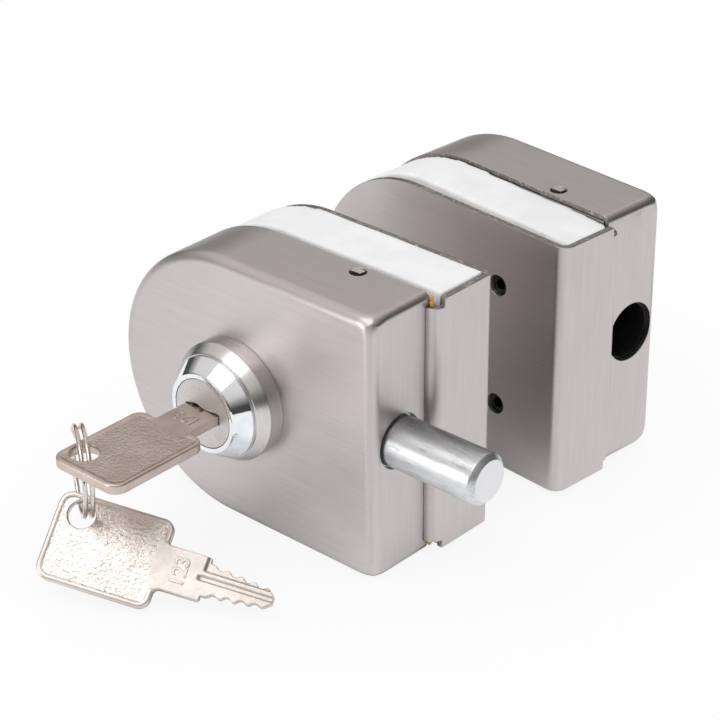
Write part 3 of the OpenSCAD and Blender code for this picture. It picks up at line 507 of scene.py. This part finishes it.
FINISHES = {
    "brushed_stainless": brushed_steel(
        "brushed_stainless", (0.565, 0.517, 0.52, 1), (0.655, 0.602, 0.605, 1), 0.4),
    "satin_collar": brushed_steel(
        "satin_collar", (0.60, 0.58, 0.575, 1), (0.72, 0.70, 0.695, 1), 0.24, 0.1),
    "polished_chrome": chrome(),
    "nickel_key": cast_nickel("nickel_key", (0.59, 0.50, 0.445, 1), (0.67, 0.59, 0.54, 1)),
    "plug_nickel": plug_nickel(),
    "zinc_plate": zinc(),
    "black_steel": plain_metal("black_steel", grey(0.03), grey(0.09, 0.03), 0.38),
    "brass": plain_metal("brass", (0.58, 0.40, 0.16, 1), (0.78, 0.58, 0.28, 1), 0.32),
    "white_pad": foam("white_pad", 0.35, (0.93, 0.93, 0.93, 1), (0.96, 0.96, 0.96, 1)),
    "white_foam": foam("white_foam", 0.5, (0.87, 0.87, 0.88, 1), (0.92, 0.92, 0.93, 1)),
    "amber_adhesive": amber(),
    "black_rubber": plain_plastic("black_rubber", grey(0.012), grey(0.03), 0.62, 0.02),
    "black_plastic": plain_plastic("black_plastic", grey(0.004), grey(0.010), 0.5, 0.012),
    "bright_wire": plain_metal(
        "bright_wire", (0.62, 0.60, 0.59, 1), (0.80, 0.79, 0.78, 1), 0.2, 0.004),
}


def dress(piece, node, finish=None):
    """Puts a finished piece in a CAD node's place, on its body and in its finish."""
    piece.data.materials.clear()
    piece.data.materials.append(finish or FINISHES[SLOT_OF[node]])
    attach(piece, BODY_OF[node])
    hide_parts(node)


# Brushed sheet: the cases and the bent frames

def brush_uv(mesh, place):
    """Lays u along the brush lines and v across them, in millimetres, by where each face
    looks: along x on the face and plates, and round the D on its side wall. Marks the narrow
    faces where the sheet was cut."""
    to_unit = place.inverted()
    turn = to_unit.to_3x3().normalized()
    layer = mesh.uv_layers.new(name="grain")
    cut_edge = mesh.attributes.new("cut_edge", "FLOAT", "FACE")
    frame_sheet = max((to_unit @ v.co).x for v in mesh.vertices) > 1
    for face in mesh.polygons:
        normal = turn @ face.normal
        middle = to_unit @ face.center
        if frame_sheet:
            cut = abs(normal.z) > 0.6 or (middle.x < round_x and abs(normal.y) < 0.5)
        else:
            cut = normal.y > 0.9 and middle.y > case_d - 0.1
        cut_edge.data[face.index].value = cut
        for corner in face.loop_indices:
            x, y, z = to_unit @ mesh.vertices[mesh.loops[corner].vertex_index].co
            if abs(normal.y) > 0.7:
                u, v = x, z
            elif abs(normal.x) > 0.7 and middle.x > round_x:
                u, v = z, y
            elif middle.x > round_x:
                u, v = x - round_x, y + math.copysign(3 * case_d, z - mid_z)
            else:
                u, v = mid_z * math.atan2(z - mid_z, round_x - x), y
            layer.data[corner].uv = (u, v)


def grind_corners(mesh, place):
    """Rounds the two welded corners of a case, at both ends of its flat side, into balls."""
    mesh.transform(place.inverted())
    with reshaping(mesh) as shape:
        grind_corner(shape, 0, 1)
        grind_corner(shape, case_h, -1)
    mesh.transform(place)


def grind_corner(shape, foot, up):
    """Cuts the corner at the height foot into a fine grid, and pushes its points inwards.
    A point's sum is how far it lies from the corner along all three edges together."""
    cuts, cut, slit = 12, 0.6, 0.03
    depth, sharp_sum, soft_sum = 1.8, 1.5, 6.4
    reach = cuts * cut

    def near_corner(face):
        middle = face.calc_center_median()
        return middle.x > -reach and middle.y < reach and (middle.z - foot) * up < reach

    for k in range(cuts, 0, -1):
        far = k * cut
        for origin, normal in (((-far, 0, 0), (1, 0, 0)), ((0, far, 0), (0, 1, 0)),
                               ((0, 0, foot + up * far), (0, 0, 1))):
            faces = shape.faces[:] if k == cuts else [f for f in shape.faces if near_corner(f)]
            edges = list({e for f in faces for e in f.edges})
            verts = list({v for f in faces for v in f.verts})
            bmesh.ops.bisect_plane(
                shape, geom=verts + edges + faces, plane_co=origin, plane_no=normal)
    bmesh.ops.remove_doubles(shape, verts=shape.verts, dist=slit)
    for vert in shape.verts:
        total = -vert.co.x + vert.co.y + (vert.co.z - foot) * up
        if total < soft_sum:
            share = min(1, (soft_sum - total) / (soft_sum - sharp_sum))
            push = depth * share**2 / 3
            vert.co += Vector((-push, push, up * push))


def make_sheet(node, name, place):
    """A steel sheet part: the CAD shape with its cut edges broken."""
    piece = merged_copy(node, name)
    if node.endswith("_case"):
        grind_corners(piece.data, place)
    smooth(piece.data, 40)
    bevel = piece.modifiers.new("cut_edges", "BEVEL")
    bevel.width = 0.12 * MM
    bevel.segments = 2
    bevel.limit_method = "ANGLE"
    bevel.angle_limit = math.radians(50)
    bevel.use_clamp_overlap = False
    bevel.miter_outer = "MITER_ARC"
    weights = piece.modifiers.new("flat_faces", "WEIGHTED_NORMAL")
    weights.keep_sharp = True
    apply_modifiers(piece)
    brush_uv(piece.data, place)
    dress(piece, node)


def make_sheets():
    for unit, place in (("lock", lock_place), ("strike", strike_place)):
        make_sheet(unit + "_case", unit + "_case_shell", place)
        make_sheet(unit + "_frame", unit + "_bent_frame", place)


# Turned parts

cylinder_low, cylinder_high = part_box("cylinder_housing")
cylinder_x = in_lock((cylinder_low + cylinder_high) / 2).x
cylinder_place = (
    lock_place
    @ Matrix.Translation((cylinder_x, 0, mid_z))
    @ Matrix.Rotation(-math.pi / 2, 4, "X")
)
bolt_low, bolt_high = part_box("bolt")
bolt_y = in_lock((bolt_low + bolt_high) / 2).y
bolt_place = (
    lock_place
    @ Matrix.Translation((0, bolt_y, mid_z))
    @ Matrix.Rotation(math.pi / 2, 4, "Y")
)


def make_collar():
    """The satin ring against the case: straight, then a rounded shoulder."""
    collar_l = -in_lock(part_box("cylinder_collar")[0]).y
    outer, bore, front, shoulder = 14.25, 9.05, 12.45, 0.6 * collar_l
    piece = lathe("satin_collar_ring", [
        (bore, 0, 0.1), (outer, 0, 0.15), (outer, -shoulder, 0.9),
        (front, -collar_l, 0.5), (bore, -collar_l, 0.1)], cylinder_place)
    dress(piece, "cylinder_collar")


def make_housing():
    """Chrome cylinder: a foot, a cone, a narrow bright rim and the barrel behind."""
    rim, end = (in_lock(corner).y for corner in (cylinder_low, cylinder_high))
    foot, cone_r, rim_r, bore, barrel, plug_r = -6.6, 12.2, 9.7, 8.36, 9.0, 6.58
    seat = rim + 3.7
    piece = lathe("chrome_cylinder", [
        (plug_r, end, 0.1), (barrel, end, 0.2), (barrel, foot, 0), (cone_r, foot, 0.12),
        (cone_r, foot - 0.8, 0.25), (rim_r, rim + 0.25, 0.18), (rim_r - 0.3, rim, 0.12),
        (bore, rim, 0.1), (bore, seat, 0), (plug_r, seat, 0)], cylinder_place)
    dress(piece, "cylinder_housing")


def make_bolt():
    """Zinc-plated bolt with a rolled chamfer and a flat nose."""
    tail, nose = (in_lock(corner).x for corner in (bolt_low, bolt_high))
    radius, neck_r, neck_end, spigot, chamfer = 6.0, 5.7, 0.5, 3.5, 1.2
    shoulder = tail + 2.6
    piece = lathe("zinc_bolt", [
        (0, tail, 0), (spigot, tail, 0.2), (spigot, shoulder, 0), (neck_r, shoulder, 0.3),
        (neck_r, neck_end, 0), (radius, neck_end, 0.1), (radius, nose - chamfer, 0.7),
        (radius - chamfer, nose, 0.45), (0, nose, 0)], bolt_place, closed=False)
    dress(piece, "bolt", finish=drawn_zinc())


# Keys, drawn round the bow hole: x runs to the tip, z across and y through

bow_l, bow_w, bow_r, bow_half_t = 26.5, 20.5, 3.2, 1.25
bow_far, bow_side = -5.9, 4.6
bow_neck = bow_far + bow_l
key_mid = bow_side - bow_w / 2
rim_w, field_sink, pebble_h = 1.0, 0.2, 0.055
shank_half, shank_l = 5.0, 10.2
shank_end = bow_neck + shank_l
blade_half, blade_l, blade_half_t = 3.75, 15.5, 1.0
# How far each notch of the blade, and the peak after it, lies inside the blade's edge
blade_cuts = [(0.9, 0.3), (1.3, 0.5), (1.6, 0.9), (1.9, 1.3)]


def key_outline():
    """The key's silhouette as (x, z) points about 0.35 mm apart."""
    low, tip, tip_half = bow_side - bow_w, shank_end + blade_l, 0.8
    step = blade_l / (len(blade_cuts) + 1)
    upper = []
    for i, (depth, peak) in enumerate(blade_cuts):
        near = shank_end + (i + 0.8) * step
        upper += [(near - 0.05 * step, blade_half - depth, 0.8),
                  (near + 0.2 * step, blade_half - depth, 0.8),
                  (near + 0.6 * step, blade_half - peak, 0.7)]
    lower = [(x, -z, r) for x, z, r in upper]
    first_cut = shank_end + 0.35 * step
    blade = [(shank_end, -blade_half, 0.2), (first_cut, -blade_half, 0.3), *lower,
             (tip, -tip_half, 0.4), (tip, tip_half, 0.4),
             *reversed(upper), (first_cut, blade_half, 0.3), (shank_end, blade_half, 0.2)]
    corners = [
        (bow_far, low, bow_r), (bow_neck, low, bow_r),
        (bow_neck, key_mid - shank_half, 1.3), (shank_end, key_mid - shank_half, 0.5),
        *[(x, key_mid + z, r) for x, z, r in blade],
        (shank_end, key_mid + shank_half, 0.5), (bow_neck, key_mid + shank_half, 0.6),
        (bow_neck, bow_side, bow_r), (bow_far, bow_side, bow_r)]
    return evenly(softened(corners), 0.35)


def evenly(outline, spacing):
    """The same closed outline with its long sides cut into short steps."""
    points = []
    for (ax, ay), (bx, by) in zip(outline, outline[1:] + outline[:1]):
        length = math.dist((ax, ay), (bx, by))
        if length < 1e-4:
            continue
        steps = max(1, round(length / spacing))
        points += [(ax + (bx - ax) * k / steps, ay + (by - ay) * k / steps)
                   for k in range(steps)]
    return np.array(points)


def edge_distance(points, outline):
    """How far each point lies from a closed outline."""
    a, b = outline, np.roll(outline, -1, axis=0)
    along = b - a
    nearest = np.full(len(points), np.inf)
    for start, step in zip(a, along):
        t = np.clip((points - start) @ step / (step @ step), 0, 1)
        gap = np.linalg.norm(points - start - t[:, None] * step, axis=1)
        nearest = np.minimum(nearest, gap)
    return nearest


def inside(points, outline):
    """Which points lie within a closed outline."""
    crossings = np.zeros(len(points), int)
    for (ax, ay), (bx, by) in zip(outline, np.roll(outline, -1, axis=0)):
        straddles = (ay > points[:, 1]) != (by > points[:, 1])
        if ay != by:
            cross_x = ax + (points[:, 1] - ay) * (bx - ax) / (by - ay)
            crossings += straddles & (points[:, 0] < cross_x)
    return crossings % 2 == 1


def key_points(outline, hole, hole_r):
    """Points to mesh a key's face on: close rings along each edge, then an even field."""
    offsets, slack = (0.05, 0.15, 0.3, 0.5, 0.75, 1.0, 1.15, 1.3), 0.97
    pitch, row_rise, bow_margin, blade_margin = 0.24, 0.866, 1.42, 0.25
    rings = []
    for edge, inwards in ((outline, 1), (hole, -1)):
        ahead = np.roll(edge, -1, axis=0) - np.roll(edge, 1, axis=0)
        ahead /= np.linalg.norm(ahead, axis=1)[:, None]
        normal = inwards * np.stack([-ahead[:, 1], ahead[:, 0]], axis=1)
        for offset in offsets:
            ring = edge + normal * offset
            kept = inside(ring, outline)
            kept &= edge_distance(ring, outline) > offset * slack - 1e-6
            kept &= edge_distance(ring, hole) > offsets[0] * slack
            kept &= np.linalg.norm(ring, axis=1) > hole_r
            rings.append(ring[kept])
    low, high = outline.min(0), outline.max(0)
    rows = []
    for k, z in enumerate(np.arange(low[1], high[1], pitch * row_rise)):
        x = np.arange(low[0] + (k % 2) * pitch / 2, high[0], pitch)
        rows.append(np.stack([x, np.full_like(x, z)], axis=1))
    field = np.concatenate(rows)
    field = field[inside(field, outline) & (np.linalg.norm(field, axis=1) > hole_r)]
    clear = np.minimum(edge_distance(field, outline), edge_distance(field, hole))
    near_blade = (field[:, 0] > bow_neck) & (clear > blade_margin)
    return np.concatenate(rings + [field[near_blade | (clear > bow_margin)]])


def key_surface(points, outline, hole, side, seed):
    """The height of one face of the key over its middle plane, and how pebbled it is."""
    tongue_x, groove_x, groove_half, groove_sink = 18.2, 28.6, 0.4, 0.4
    milled_z, milled_sink = 1.5, 0.42
    x, across = points[:, 0], points[:, 1] - key_mid
    rim_d = edge_distance(points, outline)
    hole_d = edge_distance(points, hole)
    tongue = smoothstep(tongue_x, tongue_x + 0.7, x)
    tongue *= 1 - smoothstep(shank_half, shank_half + 0.9, np.abs(across))
    rim = 1 - smoothstep(rim_w - 0.2, rim_w + 0.5, rim_d)
    eye = 0.5 * (1 - smoothstep(0.25, 0.5, hole_d))
    height = bow_half_t - field_sink + field_sink * np.maximum(rim * (1 - tongue), eye)
    pebbled = (1 - np.maximum(rim, eye)) * (1 - tongue)
    bumps = np.array([pebble(px, pz, seed) for px, pz in points])
    height += pebble_h * pebbled * bumps
    groove = 1 - smoothstep(groove_half, groove_half + 0.22, np.abs(across))
    groove *= smoothstep(groove_x, groove_x + 1.2, x)
    milled = smoothstep(milled_z, milled_z + 0.4, -side * across)
    milled *= smoothstep(shank_end - 1.2, shank_end - 0.4, x)
    height -= groove_sink * groove + milled_sink * milled
    edge_r = 0.5 - 0.35 * smoothstep(bow_neck - 1, bow_neck + 1, x)
    close = np.minimum(np.minimum(rim_d, hole_d), edge_r)
    rounding = np.sqrt(np.maximum(0, edge_r**2 - (edge_r - close)**2))
    return height - edge_r + rounding, pebbled


def pebble(x, z, seed):
    """Cast relief: small soft bumps of two sizes, from about -1 to 1."""
    coarse = noise.noise(Vector((x / 0.62, z / 0.62, seed)))
    fine = noise.noise(Vector((x / 0.4, z / 0.4, seed + 7)))
    return 1.3 * coarse + 0.7 * fine


def make_key(node, name, place, seed, hole_r, finish=None):
    """A cast key: its outline and bow hole filled with triangles, one skin on each side."""
    outline = key_outline()
    hole = np.array([(hole_r * math.cos(a), hole_r * math.sin(a))
                     for a in np.linspace(0, 2 * math.pi, 64, False)])
    edge_count, hole_count = len(outline), len(hole)
    flat = np.concatenate([outline, hole, key_points(outline, hole, hole_r)])
    loops = [(i, (i + 1) % edge_count) for i in range(edge_count)]
    loops += [(edge_count + i, edge_count + (i + 1) % hole_count)
              for i in range(hole_count)]
    solved = geometry.delaunay_2d_cdt([Vector(p) for p in flat], loops, [], 0, 1e-7)
    flat = np.array([tuple(v) for v in solved[0]])
    triangles = np.array(solved[2])
    centres = flat[triangles].mean(axis=1)
    kept = inside(centres, outline) & (np.linalg.norm(centres, axis=1) > hole_r * 0.999)
    triangles = triangles[kept]
    count = len(flat)
    verts, faces, pebbles = [], [], []
    for side in (-1, 1):
        heights, pebbled = key_surface(flat, outline, hole, side, seed + side)
        pebbles += list(pebbled)
        verts += [(x, side * y, z) for (x, z), y in zip(flat, heights)]
        start = 0 if side < 0 else count
        faces += [tuple(t + start) for t in triangles]
    border = border_edges(triangles)
    faces += [(a, b, b + count, a + count) for a, b in border]
    piece = new_piece(name, verts, faces, place, sharp=50)
    field = piece.data.attributes.new("pebbled_field", "FLOAT", "POINT")
    field.data.foreach_set("value", pebbles)
    drop_loose(piece.data)
    add_number(piece, place)
    dress(piece, node, finish=finish)


def border_edges(triangles):
    """Edges that only one triangle has."""
    seen = {}
    for a, b, c in triangles:
        for edge in ((a, b), (b, c), (c, a)):
            key = (min(edge), max(edge))
            seen[key] = None if key in seen else edge
    return [edge for edge in seen.values() if edge]


def drop_loose(mesh):
    """Deletes the points that no face uses."""
    with reshaping(mesh) as shape:
        loose = [v for v in shape.verts if not v.link_faces]
        bmesh.ops.delete(shape, geom=loose, context="VERTS")


def add_number(piece, place):
    """Raised digits across the shank, with their tops towards the bow."""
    text = bpy.data.curves.new("key_number", "FONT")
    text.body = "123"
    text.size = 4.6
    text.align_x = "CENTER"
    text.align_y = "CENTER"
    text.extrude = 0.1
    text.bevel_depth = 0.13
    text.bevel_resolution = 2
    text.resolution_u = 4
    words = add_object("key_number", text)
    bpy.context.view_layer.update()
    mesh = bpy.data.meshes.new_from_object(words)
    bpy.data.objects.remove(words)
    upright = Matrix.Rotation(math.pi / 2, 4, "X")
    turned = Matrix.Rotation(-math.pi / 2, 4, "Y")
    spot = Matrix.Translation((bow_neck + 4.4, -blade_half_t, key_mid))
    mesh.transform(place @ spot @ turned @ upright)
    with reshaping(mesh) as digits:
        bmesh.ops.remove_doubles(digits, verts=digits.verts, dist=MERGE)
        bmesh.ops.recalc_face_normals(digits, faces=digits.faces)
    with reshaping(piece.data) as shape:
        shape.from_mesh(mesh)
    smooth(piece.data, 50)


def make_keys():
    """One key in the plug and one on the ring. Gives the first key's bow hole."""
    plug_face, in_plug = -10.9, 0.8
    bow_y = plug_face - shank_l + in_plug
    hole_1 = (cylinder_x - bow_w / 2 + bow_side, bow_y - bow_neck, mid_z)
    turn_1 = Matrix.Rotation(math.pi / 2, 4, "Z") @ Matrix.Rotation(-math.pi / 2, 4, "X")
    place_1 = lock_place @ Matrix.Translation(hole_1) @ turn_1
    place_2 = lock_place @ Matrix.Translation((-50.1, -39.2, 15.2))
    for angle, axis in ((25.7, "Z"), (9.6, "Y"), (-47.4, "X")):
        place_2 = place_2 @ Matrix.Rotation(math.radians(angle), 4, axis)
    make_key("key_1", "cast_key_in_lock", place_1, 3, 3.3)
    # The second key is the same casting as the first, but gets a lighter copy of its nickel: a
    # painted highlight for the softbox it faces.
    bright = cast_nickel("nickel_key_painted_highlight", (0.66, 0.60, 0.56, 1), (0.77, 0.715, 0.68, 1))
    make_key("key_2", "cast_key_on_ring", place_2, 11, 3.1, bright)
    return hole_1


# Split ring: one wire wound into two flat turns, joined by a short sideways bend

ring_r, ring_wire, ring_pitch = 10.0, 1.1, 1.6
ring_turns, ring_jog, ring_jog_at, ring_heading = 2, 44, 20, 145


def ring_point(a):
    """A point of the wire's middle line, a degrees along its turns."""
    t = min(1, max(0, (a - ring_jog_at - 360) / ring_jog + 0.5))
    across = ring_pitch * (3 * t * t - 2 * t**3 - 0.5)
    return (ring_r * math.cos(math.radians(a)), across, ring_r * math.sin(math.radians(a)))


def wire_tree():
    """Geometry nodes that sweep a round wire along a path of edges."""
    tree, given, result = new_group(
        "wound_wire", {"Geometry": "Geometry", "Wire Radius": "Float", "Finish": "Material"},
        {"Geometry": "Geometry"}, "GeometryNodeTree")
    path, section, sweep, merge, real, paint = (
        tree.nodes.new("GeometryNode" + kind) for kind in (
            "MeshToCurve", "CurvePrimitiveCircle", "CurveToMesh", "MergeByDistance",
            "RealizeInstances", "SetMaterial"))
    section.inputs["Resolution"].default_value = 20
    sweep.inputs["Fill Caps"].default_value = True
    merge.inputs["Distance"].default_value = MERGE
    for source, target in (
            (given["Geometry"], path.inputs["Mesh"]),
            (given["Wire Radius"], section.inputs["Radius"]),
            (path.outputs["Curve"], sweep.inputs["Curve"]),
            (section.outputs["Curve"], sweep.inputs["Profile Curve"]),
            (sweep.outputs["Mesh"], merge.inputs["Geometry"]),
            (merge.outputs["Geometry"], real.inputs["Geometry"]),
            (real.outputs["Geometry"], paint.inputs["Geometry"]),
            (given["Finish"], paint.inputs["Material"]),
            (paint.outputs["Geometry"], result["Geometry"])):
        tree.links.new(source, target)
    sockets = tree.interface.items_tree
    return tree, {socket.name: socket.identifier for socket in sockets if socket.in_out == "INPUT"}


def make_ring(key_hole):
    """The ring hangs in the first key's bow hole, with its path solved into a wire."""
    reach, drop, steps = 6.3, 7.1, 220
    heading = math.radians(ring_heading)
    hang = Vector((reach * math.cos(heading), reach * math.sin(heading), -drop))
    place = (
        lock_place
        @ Matrix.Translation(Vector(key_hole) + hang)
        @ Matrix.Rotation(heading, 4, "Z")
    )
    start = ring_jog_at + ring_jog / 2
    sweep = 360 * ring_turns - ring_jog
    path = [place @ Vector(ring_point(start + sweep * i / steps)) for i in range(steps + 1)]
    mesh = bpy.data.meshes.new("split_ring")
    mesh.from_pydata(path, [(i, i + 1) for i in range(steps)], [])
    ring = add_object("split_ring", mesh)
    nickel = plain_metal(
        "ring_nickel", (0.60, 0.54, 0.50, 1), (0.80, 0.75, 0.71, 1), 0.2, 0.004)
    tree, inputs = wire_tree()
    winding = ring.modifiers.new("wire", "NODES")
    winding.node_group = tree
    winding[inputs["Wire Radius"]] = ring_wire / 2 * MM
    winding[inputs["Finish"]] = nickel
    apply_modifiers(ring)
    smooth(ring.data, 50)
    dress(ring, "key_ring", finish=nickel)


# Foam blanks, pads and adhesive films

def make_foam(node, name):
    """A cut foam block: slightly rounded edges and faint dents."""
    dent_w, dent_depth = 9 * MM, 0.16 * MM
    piece = merged_copy(node, name)
    remesh = piece.modifiers.new("even_mesh", "REMESH")
    remesh.mode = "VOXEL"
    remesh.voxel_size = 0.65 * MM
    soften = piece.modifiers.new("soft_edges", "SMOOTH")
    soften.factor = 0.5
    soften.iterations = 4
    apply_modifiers(piece)
    skin = [(vertex.co.copy(), vertex.normal.copy()) for vertex in piece.data.vertices]
    for vertex, (co, normal) in zip(piece.data.vertices, skin):
        dent = noise.noise(co / dent_w) - 0.5
        vertex.co = co + normal * dent_depth * min(0, dent)
    smooth(piece.data, 60)
    dress(piece, node)


def make_pad(node, name, edge):
    """A flat cut sheet with softly broken edges."""
    piece = merged_copy(node, name)
    bevel = piece.modifiers.new("soft_edge", "BEVEL")
    bevel.width = edge * MM
    bevel.segments = 3
    bevel.limit_method = "ANGLE"
    bevel.angle_limit = math.radians(50)
    apply_modifiers(piece)
    smooth(piece.data, 40)
    dress(piece, node)


def make_soft_parts():
    for unit in ("lock", "strike"):
        make_foam(unit + "_foam_blank", unit + "_foam_block")
        make_pad(unit + "_glass_pad", unit + "_white_pad", 0.25)
        make_pad(unit + "_pressure_pad", unit + "_rubber_face", 0.2)
        make_pad(unit + "_adhesive", unit + "_adhesive_film", 0.06)


# What shows in the lock's notches

def make_glue_beads():
    """Amber glue that squeezed out past the lock's film, in both notches of its bend."""
    for name, foot, length in (("upper", case_h - 3.1, 2.7), ("lower", 1.6, 1.6)):
        spot = lock_place @ Matrix.Translation((0.55, case_d - 0.05, foot))
        bead = lathe(name + "_glue_bead", [
            (0, 0, 0), (0.42, 0.05, 0.3), (0.55, 0.35 * length, 0.4),
            (0.38, 0.65 * length, 0.4), (0.47, 0.88 * length, 0.3), (0, length, 0)],
            spot, 32, closed=False)
        bead.data.materials.append(FINISHES["amber_adhesive"])
        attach(bead, BODY_OF["lock_adhesive"])


def dress_cad_nodes():
    """Every CAD node that stays gets its procedural finish."""
    for name, thing in frame["nodes"].items():
        thing.data.materials.clear()
        thing.data.materials.append(FINISHES[SLOT_OF[name]])


# Stage, lamps and camera

def bare_tree(holder):
    """The emptied shader tree of a material or a world."""
    holder.use_nodes = True
    holder.node_tree.nodes.clear()
    return holder.node_tree


def make_floor():
    """A pale disc that shows white, with the object's shadow. Metal sees more of its shade."""
    mesh = bpy.data.meshes.new("floor")
    radius, sides = 1.3, 64
    angles = [2 * math.pi * k / sides for k in range(sides)]
    ring = [(radius * math.cos(a), radius * math.sin(a), 0) for a in angles]
    mesh.from_pydata(ring, [], [tuple(range(sides))])
    add_object("floor", mesh)
    material = bpy.data.materials.new("pale_floor")
    tree = bare_tree(material)
    matte = add(tree, "BsdfDiffuse", {"Color": grey(0.9)})
    near = add(tree, "AmbientOcclusion", {"Distance": 0.06}, samples=8).outputs["AO"]
    direct = between(tree, near, 0.93, 1.0)
    mirrored = between(tree, threshold(tree, near, 0.17, 0.52), 0.06, 1.0)
    seen = add(tree, "LightPath").outputs["Is Camera Ray"]
    more = maths(tree, "SUBTRACT", direct, mirrored)
    level = maths(tree, "MULTIPLY_ADD", seen, more, mirrored)
    white = add(tree, "Emission", {"Color": grey(1), "Strength": level})
    share = maths(tree, "MULTIPLY", seen_rays(tree), 0.95)
    mixed = add(tree, "MixShader", {0: share, 1: matte.outputs[0], 2: white.outputs[0]})
    add(tree, "OutputMaterial", {"Surface": mixed.outputs[0]})
    mesh.materials.append(material)


def seen_rays(tree):
    """1 for what the camera sees directly, or in metal or glass."""
    path = add(tree, "LightPath").outputs
    seen = maths(tree, "MAXIMUM", path["Is Camera Ray"], path["Is Glossy Ray"])
    return maths(tree, "MAXIMUM", seen, path["Is Transmission Ray"])


def make_world():
    world = bpy.data.worlds.new("studio")
    bpy.context.scene.world = world
    tree = bare_tree(world)
    strength = between(tree, seen_rays(tree), 0.8, 1.0)
    sky = add(tree, "Background", {"Color": grey(1), "Strength": strength})
    add(tree, "OutputWorld", {"Surface": sky.outputs[0]})


def make_studio_walls():
    """The room round the object, which only its reflections see: dark low walls, pale above."""
    mesh = bpy.data.meshes.new("studio_walls")
    with reshaping(mesh) as shape:
        bmesh.ops.create_uvsphere(shape, u_segments=48, v_segments=24, radius=1.6)
    walls = add_object("studio_walls", mesh)
    walls.visible_camera = False
    walls.visible_diffuse = False
    walls.visible_transmission = False
    walls.visible_shadow = False
    warmth, dark_side = 0.03, (0.75, 0.6, 0.0)
    material = bpy.data.materials.new("studio_walls")
    tree = bare_tree(material)
    place = add(tree, "TexCoord").outputs["Object"]
    way = add(tree, "VectorMath", {0: place}, operation="NORMALIZE").outputs[0]
    ramp = add(tree, "ValToRGB", {"Fac": add(tree, "SeparateXYZ", {0: way}).outputs["Z"]})
    stops = ramp.color_ramp.elements
    stops[0].position, stops[0].color = 0.0, grey(0.06, warmth)
    stops[1].position, stops[1].color = 1.0, grey(0.75, warmth)
    for position, value in ((0.2, 0.08), (0.36, 0.34), (0.5, 0.67), (0.7, 0.74)):
        stops.new(position).color = grey(value, warmth)
    behind = add(tree, "VectorMath", {0: way, 1: dark_side}, operation="DOT_PRODUCT")
    shade = between(tree, threshold(tree, behind.outputs["Value"], 0.15, 0.75), 1.0, 0.25)
    glow = add(tree, "Emission", {"Color": ramp.outputs["Color"], "Strength": shade})
    add(tree, "OutputMaterial", {"Surface": glow.outputs[0]})
    mesh.materials.append(material)


def make_lamp(name, towards, distance, size, power):
    """A white softbox at a direction from the object, facing it."""
    light = bpy.data.lights.new(name, "AREA")
    light.shape = "RECTANGLE"
    light.size, light.size_y = size
    light.energy = power
    lamp = add_object(name, light)
    object_middle = Vector((0, 0.02, 0.03))
    way = Vector(towards).normalized()
    lamp.location = object_middle + way * distance
    lamp.rotation_euler = way.to_track_quat("Z", "Y").to_euler()


def make_lamps():
    make_lamp("front_softbox", (-0.03, -0.45, 0.72), 0.62, (0.44, 0.26), 0.8)
    make_lamp("left_softbox", (-0.09, -0.27, 0.035), 0.32, (0.07, 0.12), 0.17)


def make_camera():
    """A long lens that looks down at the lock from its left front, where the photograph was
    taken from."""
    lens = bpy.data.cameras.new("camera")
    lens.lens = 127.526
    lens.sensor_width = 36
    lens.clip_start = 0.01
    stand = (0.3502225, -0.3589608, 0.3136062)
    azimuth, elevation, roll = (math.radians(a) for a in (42.030781, 28.783729, -0.247282))
    ahead = Vector((
        -math.sin(azimuth) * math.cos(elevation), math.cos(azimuth) * math.cos(elevation),
        -math.sin(elevation)))
    level = Vector((math.cos(azimuth), math.sin(azimuth), 0))
    over = level.cross(ahead)
    right = level * math.cos(roll) + over * math.sin(roll)
    up = over * math.cos(roll) - level * math.sin(roll)
    camera = add_object("camera", lens)
    turn = Matrix((right, up, -ahead)).transposed()
    camera.matrix_world = Matrix.Translation(stand) @ turn.to_4x4()
    bpy.context.scene.camera = camera


make_camera()
make_floor()
make_studio_walls()
make_world()
make_lamps()
dress_cad_nodes()
make_sheets()
make_collar()
make_housing()
make_bolt()
make_ring(make_keys())
make_soft_parts()
make_glue_beads()
bpy.context.scene.view_settings.view_transform = "Standard"
